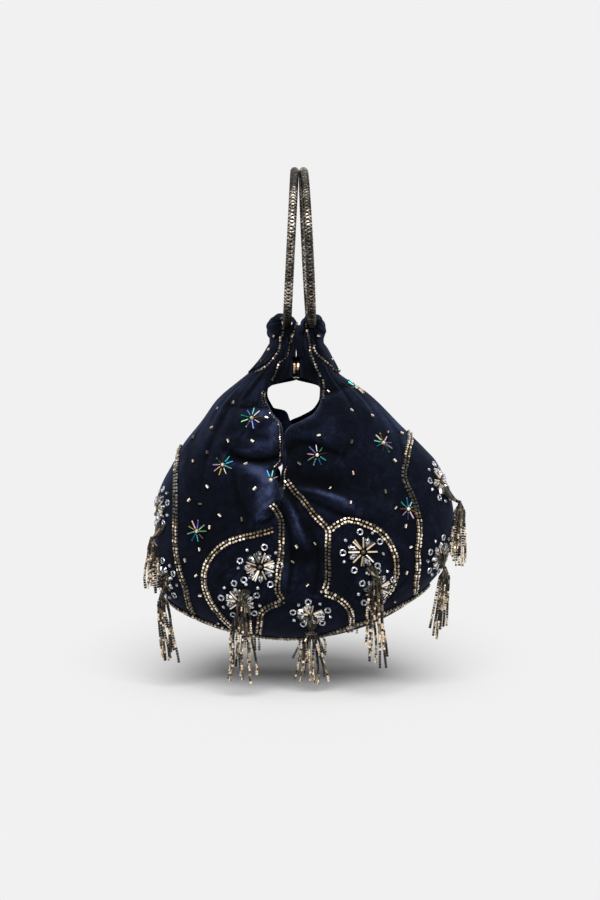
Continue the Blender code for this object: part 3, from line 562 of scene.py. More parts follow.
def surface(material, colour, bump, values):
    """Sets the surface of a material: its node of colour, its node of bump and the values of the rest."""
    shader = material.node_tree.nodes["Principled BSDF"]
    material.node_tree.links.new(colour.outputs["Color"], shader.inputs["Base Color"])
    if bump:
        material.node_tree.links.new(bump.outputs["Normal"], shader.inputs["Normal"])
    for name, value in values.items():
        shader.inputs[name].default_value = value


velvet = new_material("navy silk velvet")
painted_level = add(velvet, "Attribute", attribute_name="painted_velvet_light")
for scale, detail, strength in ((0.020, 5.0, 0.30), (0.0055, 4.0, 0.26), (0.0012, 2.0, 0.20)):
    cloud = texture(velvet, Scale=1 / scale, Detail=detail, Roughness=0.62, Distortion=0.6)
    swing = add(velvet, "MapRange", ("Value", cloud, "Fac"),
                inputs={"From Min": 0.25, "From Max": 0.75, "To Min": -strength / 2, "To Max": strength / 2})
    painted_level = add(velvet, "Math", (0, painted_level, 2 if painted_level.type == "ATTRIBUTE" else 0), (1, swing, "Result"),
              operation="ADD")
grain = texture(velvet, Scale=1 / 0.0009, Detail=2.0, Roughness=0.7)
surface(
    velvet, add(velvet, "ValToRGB", ("Fac", painted_level, 0), ramp=VELVET_TONES),
    add(velvet, "Bump", ("Height", grain, "Fac"), inputs={"Strength": 0.35, "Distance": 0.0003}),
    {"Roughness": 0.95, "Specular IOR Level": 0.04, "Sheen Weight": 0.20, "Sheen Roughness": 0.42,
     "Sheen Tint": linear(VELVET_HAZE)},
)

# The satin that lines the velvet: a smooth dark navy weave with a soft long highlight
satin = new_material("navy satin")
threads = texture(satin, "TexWave", Scale=900.0, Distortion=1.5)
creased = texture(satin, Scale=60.0, Detail=4.0)
surface(
    satin, add(satin, "ValToRGB", ("Fac", creased, "Fac"), ramp=((0.35, "#1c2444"), (0.7, "#2c375e"))),
    add(satin, "Bump", ("Height", threads, "Fac"), inputs={"Strength": 0.15, "Distance": 0.0002}),
    {"Roughness": 0.42},
)


def new_piece(name, points, faces, material, smooth=True, back=None):
    """A mesh piece from points and faces; back gives a second material and the faces that have it."""
    mesh = bpy.data.meshes.new(name)
    faces = faces if isinstance(faces, list) else faces.tolist()
    mesh.from_pydata([tuple(p) for p in np.asarray(points).reshape(-1, 3)], [], faces)
    mesh.materials.append(material)
    if back:
        mesh.materials.append(back[0])
        mesh.polygons.foreach_set("material_index", back[1])
    mesh.shade_smooth() if smooth else mesh.shade_flat()
    mesh.update()
    piece = bpy.data.objects.new(name, mesh)
    bpy.context.scene.collection.objects.link(piece)
    return piece


def dress(piece, body, node):
    """Rides a piece on its body, in place of a node of the source if it stands for one."""
    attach(piece, body)
    if node:
        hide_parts(node)


def write(piece, name, kind, domain, values):
    """Writes values on a piece's points or faces, for its material to read."""
    attribute = piece.data.attributes.new(name, kind, domain)
    attribute.data.foreach_set("color" if kind == "FLOAT_COLOR" else "value", np.ravel(values))


def paint_velvet_light(piece, painted_level=0.42):
    """Writes the painted sheen and shade of a velvet piece, one level for every point."""
    write(piece, "painted_velvet_light", "FLOAT", "POINT", np.broadcast_to(painted_level, len(piece.data.vertices)).astype(float))


def turned_out(piece):
    """Turns every face outward."""
    shape = bmesh.new()
    shape.from_mesh(piece.data)
    bmesh.ops.recalc_face_normals(shape, faces=shape.faces)
    shape.to_mesh(piece.data)
    shape.free()


def grid_faces(rows, columns):
    spots = np.arange(rows * columns).reshape(rows, columns)
    return np.stack((spots[:-1, :-1], spots[:-1, 1:], spots[1:, 1:], spots[1:, :-1]), -1).reshape(-1, 4)


def sheet_faces(rows, columns):
    """Faces of a closed sheet: an outer grid, an inner grid and the rim between them."""
    spots = np.arange(rows * columns).reshape(rows, columns)
    rim = np.concatenate((spots[0], spots[1:, -1], spots[-1, -2::-1], spots[-2:0:-1, 0]))
    after, under = np.roll(rim, -1), rows * columns
    face = grid_faces(rows, columns)
    sides = np.stack((rim, rim + under, after + under, after), -1)
    return np.concatenate((face, face[:, ::-1] + under, sides))


def ring_faces(rows, columns, closed=False):
    """Faces of a grid that closes on itself along its columns, and if asked along its rows too."""
    spots = np.arange(rows * columns).reshape(rows, columns)
    over = np.roll(spots, -1, 1)
    faces = np.stack((spots, over, np.roll(over, -1, 0), np.roll(spots, -1, 0)), -1)
    return (faces if closed else faces[:-1]).reshape(-1, 4)


def cloth_piece(name, places, node, thickness=THICKNESS):
    """A lined piece of velvet over a grid of places."""
    turn, height = places[..., 0], places[..., 1]
    outer, inner = cloth(turn, height), cloth(turn, height, -thickness)
    faces, on_face = sheet_faces(*turn.shape), (turn.shape[0] - 1) * (turn.shape[1] - 1)
    middle = faces[on_face // 2]
    one = outer.reshape(-1, 3)[middle]
    out = cloth_frame(turn, height)[2].reshape(-1, 3)[middle[0]]
    if np.dot(np.cross(one[1] - one[0], one[2] - one[1]), out) < 0:
        faces = faces[:, ::-1]
    lined = np.zeros(len(faces), int)
    lined[on_face:2 * on_face] = 1
    piece = new_piece(name, np.stack((outer, inner)), faces, velvet, back=(satin, lined))
    # the painted sheen and shade, from the front's or the back's map
    painted_level = looked_up(painted_velvet_light, np.cos(turn) > 0, outer[..., 0], height)
    paint_velvet_light(piece, np.concatenate((painted_level.ravel(), painted_level.ravel())))
    dress(piece, "bag", node)
    return piece


def folded_piece(name, outer, inner, node, painted_level=0.42):
    """A folded piece of velvet between an outer and an inner grid of points."""
    piece = new_piece(name, np.stack((outer, inner)), sheet_faces(*outer.shape[:2]), velvet)
    turned_out(piece)
    paint_velvet_light(piece, painted_level)
    dress(piece, "bag", node)
    return piece


for side, word in SIDES:
    seam = centre_seam(side, SEAM)
    lip_height = seam[-1, 1] * (1 - np.arange(1, MOUTH_POINTS + 1) / MOUTH_POINTS)
    lip = np.stack((np.full(MOUTH_POINTS, side * FRONT_TURN), lip_height), -1)
    neck_turn = side * pi / 2 * np.arange(1, NECK_POINTS + 1) / NECK_POINTS
    rim = np.concatenate((seam, lip, np.stack((neck_turn, np.zeros(NECK_POINTS)), -1)))
    rim = np.concatenate((rim, on_back(rim[:-1])[::-1]))
    arch = arch_line(side, len(rim) - 1, SEAM)
    front = base_edge(arch[0, 0], rim[0, 0], ACROSS, SEAM)
    arch[0], arch[-1] = front[0], on_back(front[:1])[0]
    half = cloth_piece(f"{word}_velvet", patch(arch, rim, front, on_back(front)), f"{word}_velvet_half")

    # Side panel, the leaf-shaped gusset under the bangle
    line = arch_line(side, 240, -SEAM)
    edge, far_edge = line[:100], on_back(line[:100])
    foot = base_edge(edge[0, 0], far_edge[0, 0], 43, SEAM)
    edge[0], far_edge[0] = foot[0], foot[-1]
    panel = patch(edge, far_edge, foot, line[99:142])
    gusset = cloth_piece(f"{word}_gusset", panel, f"{word}_side_panel")

# Centre panels: the sunken strips that close the front and the back under the mouth
edges = centre_seam(-1, -SEAM), centre_seam(1, -SEAM)
foot = base_edge(edges[0][0, 0], edges[1][0, 0], 40, SEAM)
grid = patch(*edges, foot, evenly([edges[0][-1], edges[1][-1]], 40))
for word, places in (("front", grid), ("back", on_back(grid))):
    cloth_piece(f"{word}_strip", places, f"{word}_centre_panel")


def bowl(name, ring, shares, depths, material, node):
    """A closed bowl of two skins, from the ring of points that it has at each share and depth."""
    skins = [[ring(share, depth) for share in shares] for depth in depths]
    rings = np.array(skins[0][::-1] + skins[1])
    rows, columns = rings.shape[:2]
    ends = [list(range(columns))[::-1], list(range((rows - 1) * columns, rows * columns))]
    piece = new_piece(name, rings, [*ring_faces(rows, columns).tolist(), *ends], material)
    dress(piece, "bag", node)
    return piece


# Base: a flat-bottomed bowl of velvet inside the beaded seam
base_turns = np.linspace(-pi, pi, 241)[:-1]
base_shares = (1 - np.linspace(0, 0.96, 16)) ** 2


def base_ring(share, depth):
    height = 1 - (1 - base_height(base_turns) - SEAM / BODY_HEIGHT) * share
    return cloth(base_turns, height, -depth)


base = bowl("base", base_ring, base_shares, (0.0, THICKNESS), velvet, "base_panel")
paint_velvet_light(base)

# The satin bag inside hangs loose, sewn in at the mouth
LINING_INSIDE, LINING_THICKNESS = 0.0112, 0.0008
lining_turns = np.linspace(-pi, pi, 97)[:-1]
lining_shares = (1 - np.arange(20) / 20) ** 1.6


def lining_ring(share, depth):
    height = 1 - (1 - SLIT_END - 0.02) * share
    ripple = 1 + 0.010 * np.sin(9 * lining_turns + 2 * height)[:, None] * np.array((1, 1, 0))
    return cloth(lining_turns, height, -depth) * ripple


skins = LINING_INSIDE, LINING_INSIDE + LINING_THICKNESS
bowl("lining", lining_ring, lining_shares, skins, satin, "satin_lining")


# Handle casings: velvet tubes sewn on the neck, gathered round a bangle and drawn in close to it at both
# ends. Below each tube the same cloth falls over the neck as a short skirt with a beaded hem.
BANGLE_RADIUS, BANGLE_TUBE = 0.0560, 0.00275
HINGE_REACH, HINGE_DROP, HINGE_ABOVE = 0.0085, 0.10655, 0.0027
CASING_HALF, CASING_RISE, CASING_INNER = 0.0255, 0.0105, 0.0011
LEAN = asin((HINGE_REACH - BANGLE_TUBE - 0.0003) / (2 * BANGLE_RADIUS - HINGE_ABOVE))


def casing_grid(side, outer):
    """Points of the gathered tube, ring by ring from the front to the back."""
    v = np.linspace(-1, 1, 61)[:, None]
    angle = np.linspace(0, 2 * pi, 72, endpoint=False)[None]
    y = v * CASING_HALF
    rise = BANGLE_RADIUS - np.sqrt(BANGLE_RADIUS**2 - y**2)
    ring_z = rise - HINGE_DROP - HINGE_ABOVE
    ring_x = side * HINGE_REACH - side * np.sin(LEAN) * rise
    past = np.clip((np.abs(v) - 0.42) / 0.58, 0, 1)
    full = np.sqrt(np.clip(1 - past**2.2, 0, 1))
    gathers = np.sin(9 * angle + 1.3 * side) * 0.6 + np.sin(14 * angle + 2 + v) * 0.4
    middle_x = side * (outer + CASING_INNER) / 2
    middle_z = CASING_RISE + 0.0012 - NECK_DROP
    wide, tall = (outer - CASING_INNER) / 2, CASING_RISE
    tight = BANGLE_TUBE + 0.0008
    x = ring_x + (middle_x - ring_x) * full + side * np.sin(angle) * (tight + (wide - tight) * full)
    z = ring_z + (middle_z - ring_z) * full - np.cos(angle) * (tight + (tall - tight) * full)
    bunch = 0.0007 * gathers * np.minimum(1, past * 2.2) * (0.3 + full)
    lumps = 0.0005 * np.sin(3 * angle + 7 * v + side) * full + 0.0004 * np.sin(5 * angle - 11 * v) * full
    x = x + side * np.sin(angle) * (bunch + lumps)
    z = z - np.cos(angle) * (bunch + lumps)
    y = y + np.sign(v) * (0.0009 * gathers * past**3)
    return np.stack(np.broadcast_arrays(x, y, z), -1)


def skirt(side, thickness):
    """The short skirt below the tube, with a wavy hem that rises towards the front and back."""
    v = np.linspace(-1, 1, 49)
    hem = 0.048 + 0.044 * np.cos(v * pi / 2) ** 0.7
    rows = []
    for share in np.linspace(0, 1, 15):
        height = -0.014 + (hem + 0.014) * share
        turn = side * (pi / 2 + v * (radians(62) - 0.10 * share))
        flare = 0.0026 - 0.0023 * eased(0.0, 0.6, share)
        ripple = 0.0005 * np.sin(9 * v + side) * eased(0.3, 1.0, share)
        rows.append(cloth(turn, height, flare + ripple + thickness))
    return np.array(rows)


TURNED_IN, SKIRT_THICKNESS, BAND_THICKNESS = np.array((0, 0.0035, 0)), 0.0009, 0.0012
casing_pieces = []
for side, word, outer in ((-1, "left", 0.0220), (1, "right", 0.0180)):
    tube = casing_grid(side, outer)
    tube = np.concatenate((tube[:1] + TURNED_IN, tube, tube[-1:] - TURNED_IN))
    casing = new_piece(f"{word}_casing", tube, ring_faces(*tube.shape[:2]), velvet)
    turned_out(casing)
    paint_velvet_light(casing)
    dress(casing, "bag", f"{word}_handle_casing")
    layers = skirt(side, SKIRT_THICKNESS), skirt(side, 0.0)
    hemmed = folded_piece(f"{word}_skirt", *layers, f"{word}_handle_casing")
    casing_pieces += [casing, hemmed]
    # the neck runs on upward between the casing and the mouth edge
    neck = np.meshgrid(side * np.linspace(FRONT_TURN, 0.62, 16), np.linspace(0.012, -0.045, 14))
    neck = np.stack(neck, -1)
    for face, places in (("front", neck), ("back", on_back(neck))):
        band = cloth_piece(f"{face}_{word}_neck_band", places, f"{word}_velvet_half", BAND_THICKNESS)
        casing_pieces.append(band)

# Neck facings: plain velvet inside the neck, which comes together at the magnetic snap
SNAP_CENTRE, SNAP_THICKNESS, FACING_THICKNESS = -0.0020, 0.0025, 0.0009
# Painted levels of the velvet: the facings inside the neck are painted fully dark as shade, the turned-in
# flap pale as light.
PAINTED_DARK, PAINTED_PALE = 0.0, 0.8


def facing_grid(side, thickness):
    v = np.linspace(-1, 1, 61)[None]
    share = np.linspace(0, 1, 44)[:, None]
    height = -0.072 + share * (0.178 + 0.040 * np.abs(v) ** 2.2)
    edge = mouth_edge(side, height)
    edge = edge + (side * 0.0046 - edge) * (1 - eased(-0.03, 0.0, height))
    snap_face = side * (side * SNAP_CENTRE + SNAP_THICKNESS + 0.0001)
    meeting = side * 0.00008 + SNAP_CENTRE * eased(-0.03, 0.01, height)
    # the two facings part a little just above the snap, and meet again behind it
    meeting = meeting + side * 0.0006 * np.exp(-(((height - 0.0265) / 0.007) ** 2)) * (np.abs(v) < 0.6)
    before = eased(0.0325, 0.0405, height) * (1 - eased(0.27, 0.42, v))
    middle = meeting + (snap_face - meeting) * before
    hold = np.cos(v * pi / 2) ** 1.5
    hold = np.where(v > 0, np.maximum(hold, 1 - eased(0.55, 1.0, v)), hold)
    x = edge + (middle - edge) * hold
    y = v * (half_depth(height) - 0.0030)
    pleat = 0.0005 * np.sin(16 * v + 3 * share) * np.abs(v) * (1 - np.abs(v)) * side
    points = np.broadcast_arrays(x + side * thickness + pleat, y, -(NECK_DROP + BODY_HEIGHT * height))
    return np.stack(points, -1)


for side, word in SIDES:
    layers = facing_grid(side, 0.0), facing_grid(side, FACING_THICKNESS)
    casing_pieces.append(folded_piece(f"{word}_facing", *layers, f"{word}_neck_facing", PAINTED_DARK))

# Under the neck the left back edge is turned in, so a flap of it shows through the mouth and closes the slit
FLAP_LEFT = ((262, 402), (262, 412), (264, 424), (267, 436), (270, 447), (273, 459))
FLAP_RIGHT = ((273, 408), (285, 411), (289, 419), (292.5, 430), (293, 445), (287, 459.5))
spots = np.stack((curved(FLAP_LEFT, 24), curved(FLAP_RIGHT, 24)), 1)
v = np.linspace(0, 1, 18)
rows = spots[:, :1] * (1 - v)[None, :, None] + spots[:, 1:] * v[None, :, None]
depth = (0.046 - 0.012 * np.sin(v * pi / 2)[None] - 0.004 * np.linspace(0, 1, 24)[:, None])[..., None]
ways = sight(rows)
outer = eye + ways * ((depth - eye[1]) / ways[..., 1:2])
folded_piece("turned_in_edge", outer, outer + (0.0004, 0.0016, 0.0), "left_velvet_half", PAINTED_PALE)

# Magnetic snap: two turned steel discs in pale gold plate, rubbed a little on their rims
gold = new_material("pale gold plated steel")
rubbed = texture(gold, Scale=240.0, Detail=3.0)
tones = add(gold, "ValToRGB", ("Fac", rubbed, "Fac"),
            ramp=((0.36, "#40332a"), (0.50, "#b59a84"), (0.64, "#f3e2d2")))
surface(gold, tones, None, {"Metallic": 1.0, "Roughness": 0.24})
for word in ("left", "right"):
    node = bpy.data.objects[f"{word}_snap_half"]
    node.data.materials.clear()
    node.data.materials.append(gold)

# Bangles: rigid rings covered with a round braid of gunmetal wire, dark grey with random tarnish. The crests
# of the crossing strands are painted pale pink as highlight, broken up by random noise, and the gaps between
# them are painted almost black as shade.
BRAID_PITCH, BRAID_STRANDS = 0.0025, 3
gunmetal = new_material("braided gunmetal wire")
ridge = add(gunmetal, "Attribute", attribute_name="tone")
glints, patchy = texture(gunmetal, Scale=950.0, Detail=2.0), texture(gunmetal, Scale=60.0, Detail=2.0)
worn = add(gunmetal, "Math", (0, glints, "Fac"), (1, patchy, "Fac"), operation="ADD")
tarnish = add(gunmetal, "MapRange", ("Value", worn, "Value"),
              inputs={"From Min": 0.86, "From Max": 1.22, "To Min": 0.15, "To Max": 1.0})
painted_crest_light = add(gunmetal, "Math", (0, ridge, "Fac"), (1, tarnish, "Result"), operation="MULTIPLY")
WIRE_TONES = (0.0, "#0b0a09"), (0.22, "#38352f"), (0.50, "#6d665c"), (0.72, "#c3b5a8"), (1.0, "#fff2e8")
wire = add(gunmetal, "ValToRGB", ("Fac", painted_crest_light, "Value"), ramp=WIRE_TONES)
surface(gunmetal, wire, None, {"Metallic": 0.92, "Roughness": 0.28})

braid_turns = round(2 * pi * BANGLE_RADIUS / BRAID_PITCH)
rows, columns = braid_turns * 9, 27
turn = 2 * pi * (np.arange(rows)[:, None] / rows)
angle = np.linspace(0, 2 * pi, columns, endpoint=False)[None]
run = turn * braid_turns
over, under = np.cos(run + BRAID_STRANDS * angle), np.cos(run - BRAID_STRANDS * angle)
height = np.clip(0.5 + 0.5 * np.maximum(over, under + 0.25 * np.sin(0.5 * run)), 0, 1)
tube = BANGLE_TUBE - 0.00035 + 0.00065 * height
reach = BANGLE_RADIUS + tube * np.cos(angle)
points = np.stack((
    tube * np.sin(angle), reach * np.sin(turn), reach * np.cos(turn) + BANGLE_RADIUS - HINGE_ABOVE,
), -1).reshape(-1, 3)
for side, word, yaw in ((-1, "left", 0.3), (1, "right", 1.0)):
    lean = Matrix.Rotation(-side * LEAN, 3, "Y") @ Matrix.Rotation(radians(yaw), 3, "Z")
    placed = points @ np.array(lean).T + np.array((side * HINGE_REACH, 0.0, -HINGE_DROP))
    ring = new_piece(f"{word}_ring", placed, ring_faces(rows, columns, closed=True), gunmetal)
    turned_out(ring)
    # The braid's height sets the tone: painted highlight on the crests, painted shade in the gaps.
    write(ring, "tone", "FLOAT", "POINT", height**2.5)
    dress(ring, f"{word}_bangle", f"{word}_bangle")


# The embroidered face: everything below is sewn through the velvet, so it is laid on the cloth as built.
# A spot of the photograph is carried onto the front, and its mirror image onto the back.
FACES = ("front", False), ("back", True)
skin_points, skin_faces = [], []
for side in (-1, 1):
    turns, heights = np.linspace(0.0001, pi - 0.0001, 150)[:, None] * side, np.linspace(0, 0.99, 240)[None]
    skin_faces += (grid_faces(150, 240) + len(skin_points)).tolist()
    skin_points += velvet_surface(turns, heights).reshape(-1, 3).tolist()
for piece in casing_pieces:
    skin_faces += [[len(skin_points) + k for k in face.vertices] for face in piece.data.polygons]
    skin_points += [v.co[:] for v in piece.data.vertices]
skin_tree = BVHTree.FromPolygons(skin_points, skin_faces)


def laid(points, outs):
    """The nearest spots of the velvet's face, with the way out of it."""
    found, ways = [], []
    for point, out in zip(np.asarray(points), np.asarray(outs)):
        hit, normal = skin_tree.ray_cast(Vector(point + out * 0.012), Vector(-out), 0.03)[:2]
        found.append(hit if hit else point)
        ways.append(normal if hit else out)
    return np.array(found), np.array(ways)


def seen_on_velvet(spots, back=False):
    """Where the sight lines through spots of the photograph meet the velvet, and the way out there."""
    found, ways = [], []
    mirror = np.array((1.0, -1.0 if back else 1.0, 1.0))
    for spot in spots:
        way = Vector(sight(spot) * mirror)
        hit, normal = skin_tree.ray_cast(Vector(eye * mirror), way)[:2]
        if hit is not None and hit[1] * mirror[1] < 0.012:
            found.append(hit)
            ways.append(normal if normal.dot(way) < 0 else -normal)
    return np.array(found), np.array(ways)


def unit(ways):
    return ways / np.linalg.norm(ways, axis=-1, keepdims=True)


def soft_ways(ways):
    """The ways out, evened along a line."""
    total = ways.copy()
    for k in (1, 2, 3):
        total[k:] += ways[:-k]
        total[:-k] += ways[k:]
    return unit(total)


def beside(out):
    """The ways to the right and up, as seen along a way out of the cloth."""
    right = unit(np.cross(out, (0.0, 0.0, 1.0)))
    return right, np.cross(right, out)


def glass_material(name, ramp, values):
    """A material whose colour is picked from a ramp by the tone of each face."""
    material = new_material(name)
    tone = add(material, "Attribute", attribute_name="tone")
    surface(material, add(material, "ValToRGB", ("Fac", tone, "Fac"), ramp=ramp), None, values)
    return material


# Tube beads: glass with a bore, silver-lined in champagne. Their tone paints the cut sides dark olive as
# shade where they turn in to the cloth, and the tops pale as highlight, which gives each row its broken
# light.
champagne = glass_material(
    "champagne glass beads",
    ((0.0, "#0e0d0b"), (0.30, "#463e31"), (0.55, "#b09a7c"), (0.78, "#ecdac0"), (1.0, "#fff8ec")),
    {"Metallic": 0.35, "Roughness": 0.22, "Coat Weight": 0.3, "Coat Roughness": 0.08},
)
dice = np.random.default_rng(7)


def tube_bead(ends):
    """A short tube along X, from (x, radius) of its ends: points, faces and how much each face looks up."""
    angle = 2 * pi * (np.arange(6) + 0.5) / 6
    rings = [np.stack((np.full(6, x), r * np.sin(angle), r * np.cos(angle)), -1) for x, r in ends]
    points = np.concatenate(rings)
    faces = ring_faces(len(ends), 6, closed=True)
    middle = points[faces].mean(1)
    up = np.where(np.abs(middle[:, 0]) < 0.46, middle[:, 2], -0.5)
    up[-6:] = -1
    return points, faces, up


def frames(along, out):
    """Rows of turning matrices: X along, Z out."""
    along = unit(along)
    across = unit(np.cross(out, along))
    return np.stack((along, across, np.cross(along, across)), 1)


class Heap:
    """Many small copies of templates, gathered into one mesh with a tone for every face."""

    def __init__(self):
        self.points, self.faces, self.tones, self.count = [], [], [], 0

    def put(self, template, spots, turns, size, tones):
        points, faces = template[:2]
        size = np.broadcast_to(np.asarray(size, float), (len(spots), 3))
        placed = np.einsum("nk,nkj->nj", np.repeat(size, len(points), 0) * np.tile(points, (len(spots), 1)),
                           np.repeat(turns, len(points), 0)) + np.repeat(spots, len(points), 0)
        steps = self.count + np.arange(len(spots)) * len(points)
        self.points.append(placed)
        self.faces.append((faces[None] + steps[:, None, None]).reshape(-1, faces.shape[1]))
        self.tones.append(np.broadcast_to(tones, (len(spots), len(faces))).ravel())
        self.count += len(placed)

    def piece(self, name, material, body, node, finish):
        points, faces = np.concatenate(self.points), np.concatenate(self.faces)
        built = new_piece(name, points, faces, material, smooth=False)
        write(built, "tone", "FLOAT", "FACE", np.clip(np.concatenate(self.tones), 0, 1))
        dress(built, body, node)
        return built


BEAD_LENGTH, BEAD_RADIUS, BEAD_STEP, ROW_GAP = 0.00182, 0.00116, 0.00242, 0.0025
DULL_SHARE, DULL, TURNED_AWAY, SINGLE_GOLD, SINGLE_GUNMETAL = 0.24, 0.36, 0.34, 1.75, 0.42
bead_shape = tube_bead(((-0.5, 0.45), (-0.5, 0.84), (-0.4, 1), (0.4, 1), (0.5, 0.84), (0.5, 0.45)))


def row_tones(count):
    """Tones of sewn beads: painted highlight on the faces turned out of the cloth, painted shade on their
    sides, dark ends, and some beads darker all over at random.
    """
    shine = dice.uniform(0.62, 1.30, (count, 1))
    dull_and_shaded = np.where(dice.random((count, 1)) < DULL_SHARE, DULL, 1.0)
    return np.clip(0.03 + (0.05 + 0.95 * np.clip(bead_shape[2][None], 0, 1) ** 1.6) * shine * dull_and_shaded, 0, 1)


def sewn_rows(heap, points, ways, rows=2, share=1.0, light=1.0, dull_and_shaded=(0.0, 0.0)):
    """Rows of beads side by side along a line on the velvet, full size or a share of it. Where light is
    under 1 the row is painted darker as shade, most beads darker still and a few pale, and between the two
    drops given last it is painted darker still, as shade where it turns from the light."""
    count = max(int(np.linalg.norm(np.diff(points, axis=0), axis=1).sum() / (BEAD_STEP * share)), 2)
    both = evenly(np.concatenate((points, ways), 1), 4 * count + 1)
    number = np.arange(count)
    stretch = np.sin(number * 0.11 + dice.uniform(0, 6)) + 0.6 * np.sin(number * 0.27)
    stretch = (1 - 0.55 * eased(0.5, 1.3, stretch))[:, None]
    if light < 1:
        stretch = stretch * np.where(np.sin(7.3 * number) > 0.35, SINGLE_GOLD, SINGLE_GUNMETAL)[:, None]
    for row in range(rows):
        offset = (row - (rows - 1) / 2) * ROW_GAP * share
        picks = np.minimum(number * 4 + 2 + row, 4 * count - 1)
        spots, outs = both[picks, :3], both[picks, 3:]
        turned = np.where((-spots[:, 2:] > dull_and_shaded[0]) & (-spots[:, 2:] < dull_and_shaded[1]), TURNED_AWAY, 1.0)
        turns = frames(both[np.minimum(picks + 2, 4 * count), :3] - both[picks - 2, :3], outs)
        along, across, out = turns[:, 0], turns[:, 1], turns[:, 2]
        spots = spots + across * offset + out * BEAD_RADIUS * 0.8 * share
        spots = spots + along * dice.normal(0, 0.00012, (count, 1))
        spots = spots + across * dice.normal(0, 0.00010, (count, 1))
        roll = dice.normal(0, 0.14, (count, 1))
        turns = frames(along + across * dice.normal(0, 0.06, (count, 1)), out + across * roll)
        size = np.array((BEAD_LENGTH, BEAD_RADIUS, BEAD_RADIUS)) * dice.uniform(0.90, 1.05, (count, 1))
        size = size * (share, share**1.4, share**1.4)
        heap.put(bead_shape, spots, turns, size, row_tones(count) * light * stretch * turned)


def bead_piece(name, lines, node):
    """A piece of all the bead rows along lines, each with its points, its ways out and how it is sewn."""
    heap = Heap()
    for (points, ways), *sewing in lines:
        sewn_rows(heap, points, ways, *sewing)
    return heap.piece(name, champagne, "bag", node, "champagne_beads")


def traced(spots, back=False, count=160):
    """A line drawn on the photograph, on the velvet."""
    points, ways = seen_on_velvet(curved(spots, count), back)
    return points, soft_ways(ways)


def followed(places):
    """A line of places, on the velvet."""
    outs = cloth_frame(*places.T)[2]
    return laid(cloth(*places.T), outs)[0], soft_ways(outs)


LEFT_MOUTH_ROW = (
    (295.5, 323), (292.4, 334), (288.9, 342.5), (285.5, 356), (279.7, 363), (276.3, 369), (272.8, 376),
    (270, 381),
)
LEFT_SEAM_ROW = (
    (270, 503), (275, 509), (280, 519), (281, 532), (280.5, 549), (279, 568), (277, 582), (277.5, 592),
    (282, 600.5), (274, 604), (266, 608), (261, 613), (260, 622), (258.5, 632),
)
RIGHT_MOUTH_ROW = (
    (306.5, 326), (308.5, 336), (309.5, 344), (311, 352), (315, 362), (319, 371), (320.5, 378),
)
RIGHT_SEAM_ROW = (
    (285, 480), (291, 487), (300, 497.5), (309, 508.5), (318, 518.5), (327.5, 529), (328.5, 545),
    (328.5, 560), (328, 582), (324.5, 592), (335, 596), (344, 602), (350, 610), (351.5, 620), (350, 630),
)
LEFT_NICHE_ROW = (
    (274, 529), (262, 533), (245, 537), (232, 540.5), (222, 546), (212, 556), (206, 568), (204.5, 580),
    (207, 592), (214, 606), (226, 620), (237, 630),
)
RIGHT_NICHE_ROW = (
    (331, 530), (338, 524), (350, 520.5), (365, 524), (378, 530), (388, 541), (394.5, 555), (396, 568),
    (394, 580), (388, 592), (380, 600), (368, 608),
)


def edge_line(side, start, end, back):
    """A line on the velvet just outside the mouth edge."""
    height = np.linspace(start, end, 80)
    places = from_front(mouth_edge(side, height) + side * 0.0022, height)
    places[:, 0] = side * np.abs(places[:, 0])
    if back:
        places = on_back(places)
    outs = cloth_frame(*places.T)[2] + np.array((0.0, 1.0 if back else -1.0, 0.0))
    return velvet_surface(*places.T), unit(outs)


# Each side: its word, its rows seen in the photograph, the drops between which its seam and its arch are
# painted darker as shade, and its rows along the mouth edge as (start, end, rows, share, light). The rows
# round the mouth are finer, and painted darker as shade because they sit on the rolled edge.
for side, word, mouth, seam, niche, seam_shaded, arch_shaded, edge_rows in (
    (-1, "left", LEFT_MOUTH_ROW, LEFT_SEAM_ROW, LEFT_NICHE_ROW, (0.226, 0.247), (0.205, 0.238),
     ((0.150, 0.200, 2, 0.65, 0.45), (0.215, 0.400, 1, 0.70, 0.5))),
    (1, "right", RIGHT_MOUTH_ROW, RIGHT_SEAM_ROW, RIGHT_NICHE_ROW, (0.253, 0.275), (0.195, 0.231),
     ((0.112, 0.180, 1, 0.80, 0.55), (0.392, 0.470, 1, 0.70, 0.6))),
):
    for face, back in FACES:
        lines = [(traced(mouth, back, 60), 1, 0.85, 0.58), (traced(seam, back), 2, 1.0, 1.0, seam_shaded)]
        lines += [(edge_line(side, start, end, back), *sewing) for start, end, *sewing in edge_rows]
        bead_piece(f"{face}_{word}_edge_rows", lines, f"{face}_{word}_mouth_beads")
        bead_piece(f"{face}_{word}_niche_rows", [(traced(niche, back),)], f"{face}_{word}_niche_beads")
    places = arch_line(side, 240, 0.0)
    places = places[places[:, 1] < base_height(places[:, 0]) - 0.005 / BODY_HEIGHT]
    bead_piece(f"{word}_arch_rows", [(followed(places), 2, 1.0, 1.0, arch_shaded)], f"{word}_arch_beads")

seam_turns = np.linspace(-pi, pi, 361)
bead_piece("base_rows", [(followed(np.stack((seam_turns, base_height(seam_turns)), -1)),)], "base_beads")

# The skirt hems carry one fine row that turns up along the front and back edge to the casing
LEFT_CASING_ROW = (
    (282, 318), (283.8, 327.6), (281.5, 338), (279.7, 350), (274.5, 358), (268, 366), (262, 370.5),
    (256, 373),
)
RIGHT_CASING_ROW = ((312.5, 345), (314, 351), (318, 356), (323, 361), (329, 366), (335, 369.5), (339, 371))
for word, spots in (("left", LEFT_CASING_ROW), ("right", RIGHT_CASING_ROW)):
    # The hem rows are painted darker as shade, like the rows round the mouth.
    lines = [(traced(spots, back), 1, 0.85, 0.62) for back in (False, True)]
    bead_piece(f"{word}_hem_rows", lines, f"{word}_hem_beads")


